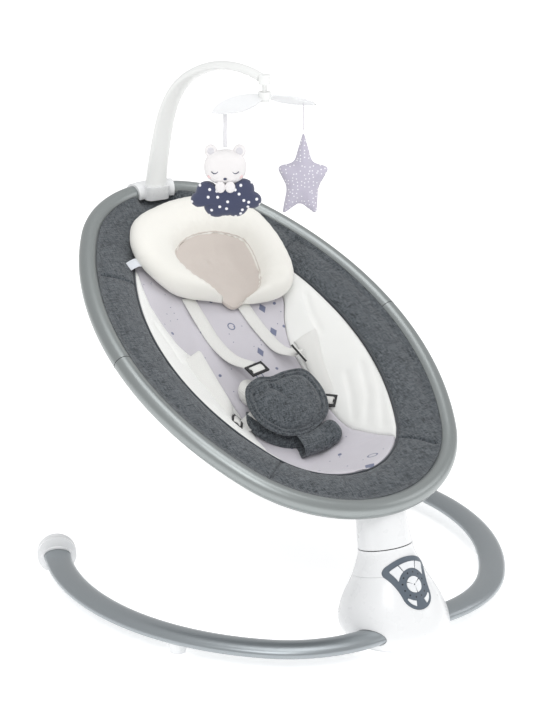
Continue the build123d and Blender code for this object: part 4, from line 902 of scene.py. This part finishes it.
MOUTH = ((0.30, 0.5, 6), (0.2, 0.7, 4), (0.06, 0.84, 2), (0.0, 0.9, 1), (-0.02, 0.97))
roll_rows = [roll_ring(*row) for row in MOUTH] + [roll_ring(k / 24, 1.0) for k in range(21)]
roll_rows += [roll_ring(0.85 + 0.15 * sin(a), cos(a) ** 0.75 if a < 1.5 else 0.05)
              for a in (0.2, 0.45, 0.7, 0.95, 1.2, 1.4, 1.54)]
sleeve = tube("crotch_sleeve_roll", roll_rows, charcoal, closed=False)
dress(sleeve, "charcoal_fabric", "crotch_sleeve", fill=0.5)
flap = ribbon("crotch_sleeve_flap",
              (on_pad(-50, 291, 13, (-0.35, -0.2, 0)), on_pad(-57, 270, 12, (-0.5, -0.3, 0)),
               on_pad(-44, 249, 11, (-0.4, -0.6, 0)), on_pad(-20, 232, 10, (-0.2, -0.6, 0)),
               on_pad(8, 224, 12, (0, -0.3, 0)), on_pad(26, 222, 14)), 25, 5.5, charcoal, "charcoal_fabric",
              ("crotch_sleeve",), steps=10)

# Side tag: a bare folded loop of satin
ribbon("folded_tag",
       (on_pad(-114, 590, 17), on_pad(-124, 590, 17), on_pad(-133, 590, 12), on_pad(-138, 590, 8)),
       18, 1.1, tag_cloth, "tag_fabric", ("side_tag",), steps=6)


# ---- toys ----
FACE = radians(-35)
TOY_X = Vector((cos(FACE), sin(FACE), 0))
TOY_OUT = Vector((sin(FACE), -cos(FACE), 0))
# In these toy cloths the second colour is painted shade between the threads
plush_white = cloth("toy_plush_white", (0.86, 0.84, 0.84), (0.66, 0.64, 0.65), 0.0009, 0.3, 0.5, 0.3)
plush_pink = cloth("toy_plush_pink", (0.80, 0.60, 0.60), (0.66, 0.46, 0.47), 0.0009, 0.3, 0.5, 0.3)
ear_cloth = cloth("toy_ear_grey", (0.70, 0.69, 0.72), (0.55, 0.54, 0.58), 0.0009, 0.3, 0.5, 0.3)
thread = cloth("toy_thread", (0.07, 0.08, 0.14), (0.03, 0.035, 0.06), 0.0007, 0.4)
ribbon_cloth = cloth("toy_ribbon", (0.80, 0.80, 0.82), (0.60, 0.60, 0.64), 0.0008, 0.4)
cord_cloth = cloth("toy_string", (0.78, 0.76, 0.80), (0.55, 0.53, 0.58), 0.0006, 0.6)


def speckled(name, ground, dark, speck, spacing, radius, share):
    """Plush with a scatter of round specks in the toy's own plane"""
    # dark is laid as painted shade between the threads
    made = woven(name, ground, dark, 0.0009, 0.3, 0.4, 0.3)
    turned = made.node("SeparateXYZ", i0=made.mapped((0, 0, -FACE)))
    flat = made.node("CombineXYZ", i0=turned.outputs[0], i1=turned.outputs[2]).outputs[0]
    cell, pick = cells(made, flat, 1 / spacing, 0.75)
    size = radius / spacing
    dots = made.times(made.ramp(cell.outputs["Distance"], size * 1.1, size * 0.85),
                      made.math("LESS_THAN", pick, share))
    made.colour(made.mix(dots, made.base_colour(), speck))
    return made.material


# The second colour of each plush is painted shade between its threads; the specks are its print
cloud_cloth = speckled("cloud_plush", (0.055, 0.065, 0.125), (0.03, 0.035, 0.07), (0.84, 0.84, 0.88),
                       0.0125, 0.0023, 0.85)
star_cloth = speckled("star_plush", (0.54, 0.515, 0.61), (0.40, 0.38, 0.47), (0.90, 0.90, 0.93),
                      0.0062, 0.0010, 0.8)


def hook_of(node_name):
    """Where a toy hangs: the middle of the top of its hanger"""
    low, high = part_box(node_name)
    return Vector(((low[0] + high[0]) / 2, (low[1] + high[1]) / 2, high[2]))


def toy_at(hook, x, y, out):
    """A point of a hanging toy, in millimetres from its hook: across its face, up and out"""
    return hook + (TOY_X * x + TOY_OUT * out + Vector((0, 0, y))) * MM


LAYERS = (1.0, 0.985, 0.95, 0.90, 0.82, 0.72, 0.60, 0.46, 0.30, 0.14)


def plush(name, hook, points, thick, material, out=0.0):
    """A stuffed flat toy: the outline shrinks into a rounded cushion on both sides of its seam"""
    count = len(points)
    cx = sum(p[0] for p in points) / count
    cy = sum(p[1] for p in points) / count
    verts = []
    for sign in (1, -1):
        for share in LAYERS:
            depth = (1 - share**3.2) ** 0.5 * thick / 2 + 0.1
            for x, y in points:
                px, py = cx + (x - cx) * share, cy + (y - cy) * share
                lumps = 0.5 * ripple(px, py, sign * 9, 12) * (1 - share**6)
                verts.append(toy_at(hook, px, py, out + sign * (depth + lumps)))
    faces = []
    for base, way in ((0, 1), (len(LAYERS) * count, -1)):
        for i in range(len(LAYERS) - 1):
            for k in range(count):
                a, b = base + i * count + k, base + i * count + (k + 1) % count
                faces.append((a, b, b + count, a + count)[::way])
        last = base + (len(LAYERS) - 1) * count
        faces.append(tuple(range(last, last + count))[::way])
    for k in range(count):
        n = (k + 1) % count
        faces.append((base + k, base + n, n, k))
    return new_object(name, verts, faces, material)


def oval(cx, cy, rx, ry, count=48, power=2.0):
    return [(cx + rx * c, cy + ry * q) for c, q in superellipse(count, power)]


def cord(name, points, radius, resolution, material):
    """A round cord through a few points"""
    curve = bpy.data.curves.new(name, "CURVE")
    curve.dimensions = "3D"
    curve.bevel_depth = radius * MM
    curve.bevel_resolution = resolution
    line = curve.splines.new("NURBS")
    line.points.add(len(points) - 1)
    for spot, place in zip(line.points, points):
        spot.co = (*place, 1)
    line.order_u = 3
    line.use_endpoint_u = True
    curve.materials.append(material)
    return add_object(name, curve)


# Bear: a round head and two paws over a cloud
bear_hook = hook_of("bear_ribbon")
HEAD_Y, CLOUD_Y = -89, -136
LID = ((-5, 1.5), (-2.5, -1.2), (0, -1.8), (2.5, -1.2), (5, 1.5))
PUFFS = ((-29, 8, 17), (0, -4, 26), (28, 12, 17), (-14, -12, 20), (16, -11, 20), (-42, -4, 12), (43, -5, 13))


def bear_piece(name, points, thick, material, fill, *nodes, out=0.0):
    piece = plush(f"bear_{name}", bear_hook, points, thick, material, out)
    dress(piece, "bear_plush", *nodes, fill=fill, body="bear")


def cloud_edge(a):
    """The farthest point of a row of round puffs along one direction"""
    far = 0.0
    for x, y, r in PUFFS:
        along = x * cos(a) + y * sin(a)
        off = -x * sin(a) + y * cos(a)
        if abs(off) < r:
            far = max(far, along + sqrt(r * r - off * off))
    return far * cos(a), CLOUD_Y + far * sin(a)


bear_piece("head", oval(0, HEAD_Y, 33, 27.5, power=2.25), 31, plush_white, 0.85, "bear_toy")
for side, hand in HANDS:
    bear_piece(f"ear_{hand}", oval(side * 22, HEAD_Y + 25, 10, 10.5, 28), 11, plush_white, 0.8)
    bear_piece(f"inner_ear_{hand}", oval(side * 22, HEAD_Y + 25.5, 5.6, 6, 20), 3, ear_cloth, 0.6, out=4.6)
    lid = [toy_at(bear_hook, side * (16 + x), HEAD_Y - 6 + y, 14.6) for x, y in LID]
    dress(cord(f"bear_eyelid_{hand}", lid, 0.7, 2, thread), "bear_plush", body="bear")
    bear_piece(f"cheek_{hand}", oval(side * 23, HEAD_Y - 13, 4.6, 3.0, 20), 1.6, plush_pink, 0.4, out=9.8)
bear_piece("nose", oval(0, HEAD_Y - 16, 2.9, 2.1, 20), 2.4, thread, 0.6, out=14.4)
bear_piece("cloud", [cloud_edge(a) for a in turns(128)], 28, cloud_cloth, 0.8, out=0.5)
for side, hand in HANDS:
    bear_piece(f"paw_{hand}", oval(side * 7.5, HEAD_Y - 29, 8, 9, 32), 9, plush_white, 0.8, out=13.5)

# Its ribbon, slightly twisted: across, up and out from the hook
HANGER = ((0, 0.6, 0.0), (0.4, -20, 0.8), (-0.3, -40, -0.4), (0, -58.5, 0.0))
rings = []
for f, place in zip(shares(31), spline(HANGER, 30)):
    twist = 0.25 * sin(f * pi)
    across = TOY_X * cos(twist) + TOY_OUT * sin(twist)
    out = TOY_OUT * cos(twist) - TOY_X * sin(twist)
    rings.append([toy_at(bear_hook, *place) + (across * a + out * b) * MM
                  for a, b in ((-3, 0), (-2.4, 0.5), (2.4, 0.5), (3, 0), (2.4, -0.5), (-2.4, -0.5))])
dress(tube("bear_hanger", rings, ribbon_cloth, closed=False), "ribbon", "bear_ribbon", body="bear")

# Star: a drooping five-armed cushion on a string
star_hook = hook_of("star_string")
STAR_H, STAR_W = 124, 42
STAR_TOP = -42 - 0.088 * STAR_H
STAR_CORNERS = ((0, -0.088), (0.34, 0.32), (1, 0.38), (0.57, 0.64), (0.52, 1), (-0.12, 0.83), (-0.80, 1),
                (-0.60, 0.64), (-1, 0.37), (-0.34, 0.32))
STRING = ((0, 0, 0), (0.4, 0, -8), (-0.3, 0.2, -17), (0.3, -0.2, -26), (0, 0, -34), (0, 0, -42))


def star_outline():
    """The star's corners, rounded off: tips by 10 mm and inner corners by 9 mm"""
    corners = [Vector((STAR_W * x, STAR_TOP - STAR_H * y)) for x, y in STAR_CORNERS]
    out = []
    for i, here in enumerate(corners):
        size = 9 if i % 2 else 10
        start, end = (here + (far - here).normalized() * size
                      for far in (corners[i - 1], corners[(i + 1) % len(corners)]))
        out += [start * (1 - f) ** 2 + here * 2 * f * (1 - f) + end * f**2 for f in shares(7)]
    return out[::-1]


star = plush("star_cushion", star_hook, star_outline(), 31, star_cloth)
dress(star, "star_plush", "star_toy", fill=0.85, body="star")
string = cord("star_cord", [star_hook + Vector(place) * MM for place in STRING], 0.8, 3, cord_cloth)
dress(string, "string", "star_string", body="star")

# ---- floor, light and world ----
FLOOR = [(x, y, -0.0005) for x, y in ((-30, -30), (30, -30), (30, 30), (-30, 30))]
LIT_PLACE = Vector((0, 0.3, 0.3))
LAMPS = (("key", (-1.6, -1.2, 2.6), 1.4, 21), ("fill", (2.2, -1.4, 1.6), 1.5, 8),
         ("top", (0, 0, 2.9), 1.6, 17))
paper = Material("studio_paper", (1, 1, 1), 0.9, Specular_IOR_Level=0.1, Emission_Color=(1, 1, 1, 1),
                 Emission_Strength=0.52)
new_object("floor", FLOOR, [(0, 1, 2, 3)], paper.material)

world = bpy.data.worlds.new("studio")
scene.world = world
world.use_nodes = True
background = world.node_tree.nodes["Background"]
background.inputs["Color"].default_value = (1, 1, 1, 1)
background.inputs["Strength"].default_value = 0.66

for name, place, size, power in LAMPS:
    data = bpy.data.lights.new(name, "AREA")
    data.shape = "RECTANGLE"
    data.size = data.size_y = size
    data.energy = power
    light = add_object(name, data)
    light.location = place
    light.rotation_euler = (LIT_PLACE - Vector(place)).to_track_quat("-Z", "Y").to_euler()
scene.view_settings.view_transform = "Standard"
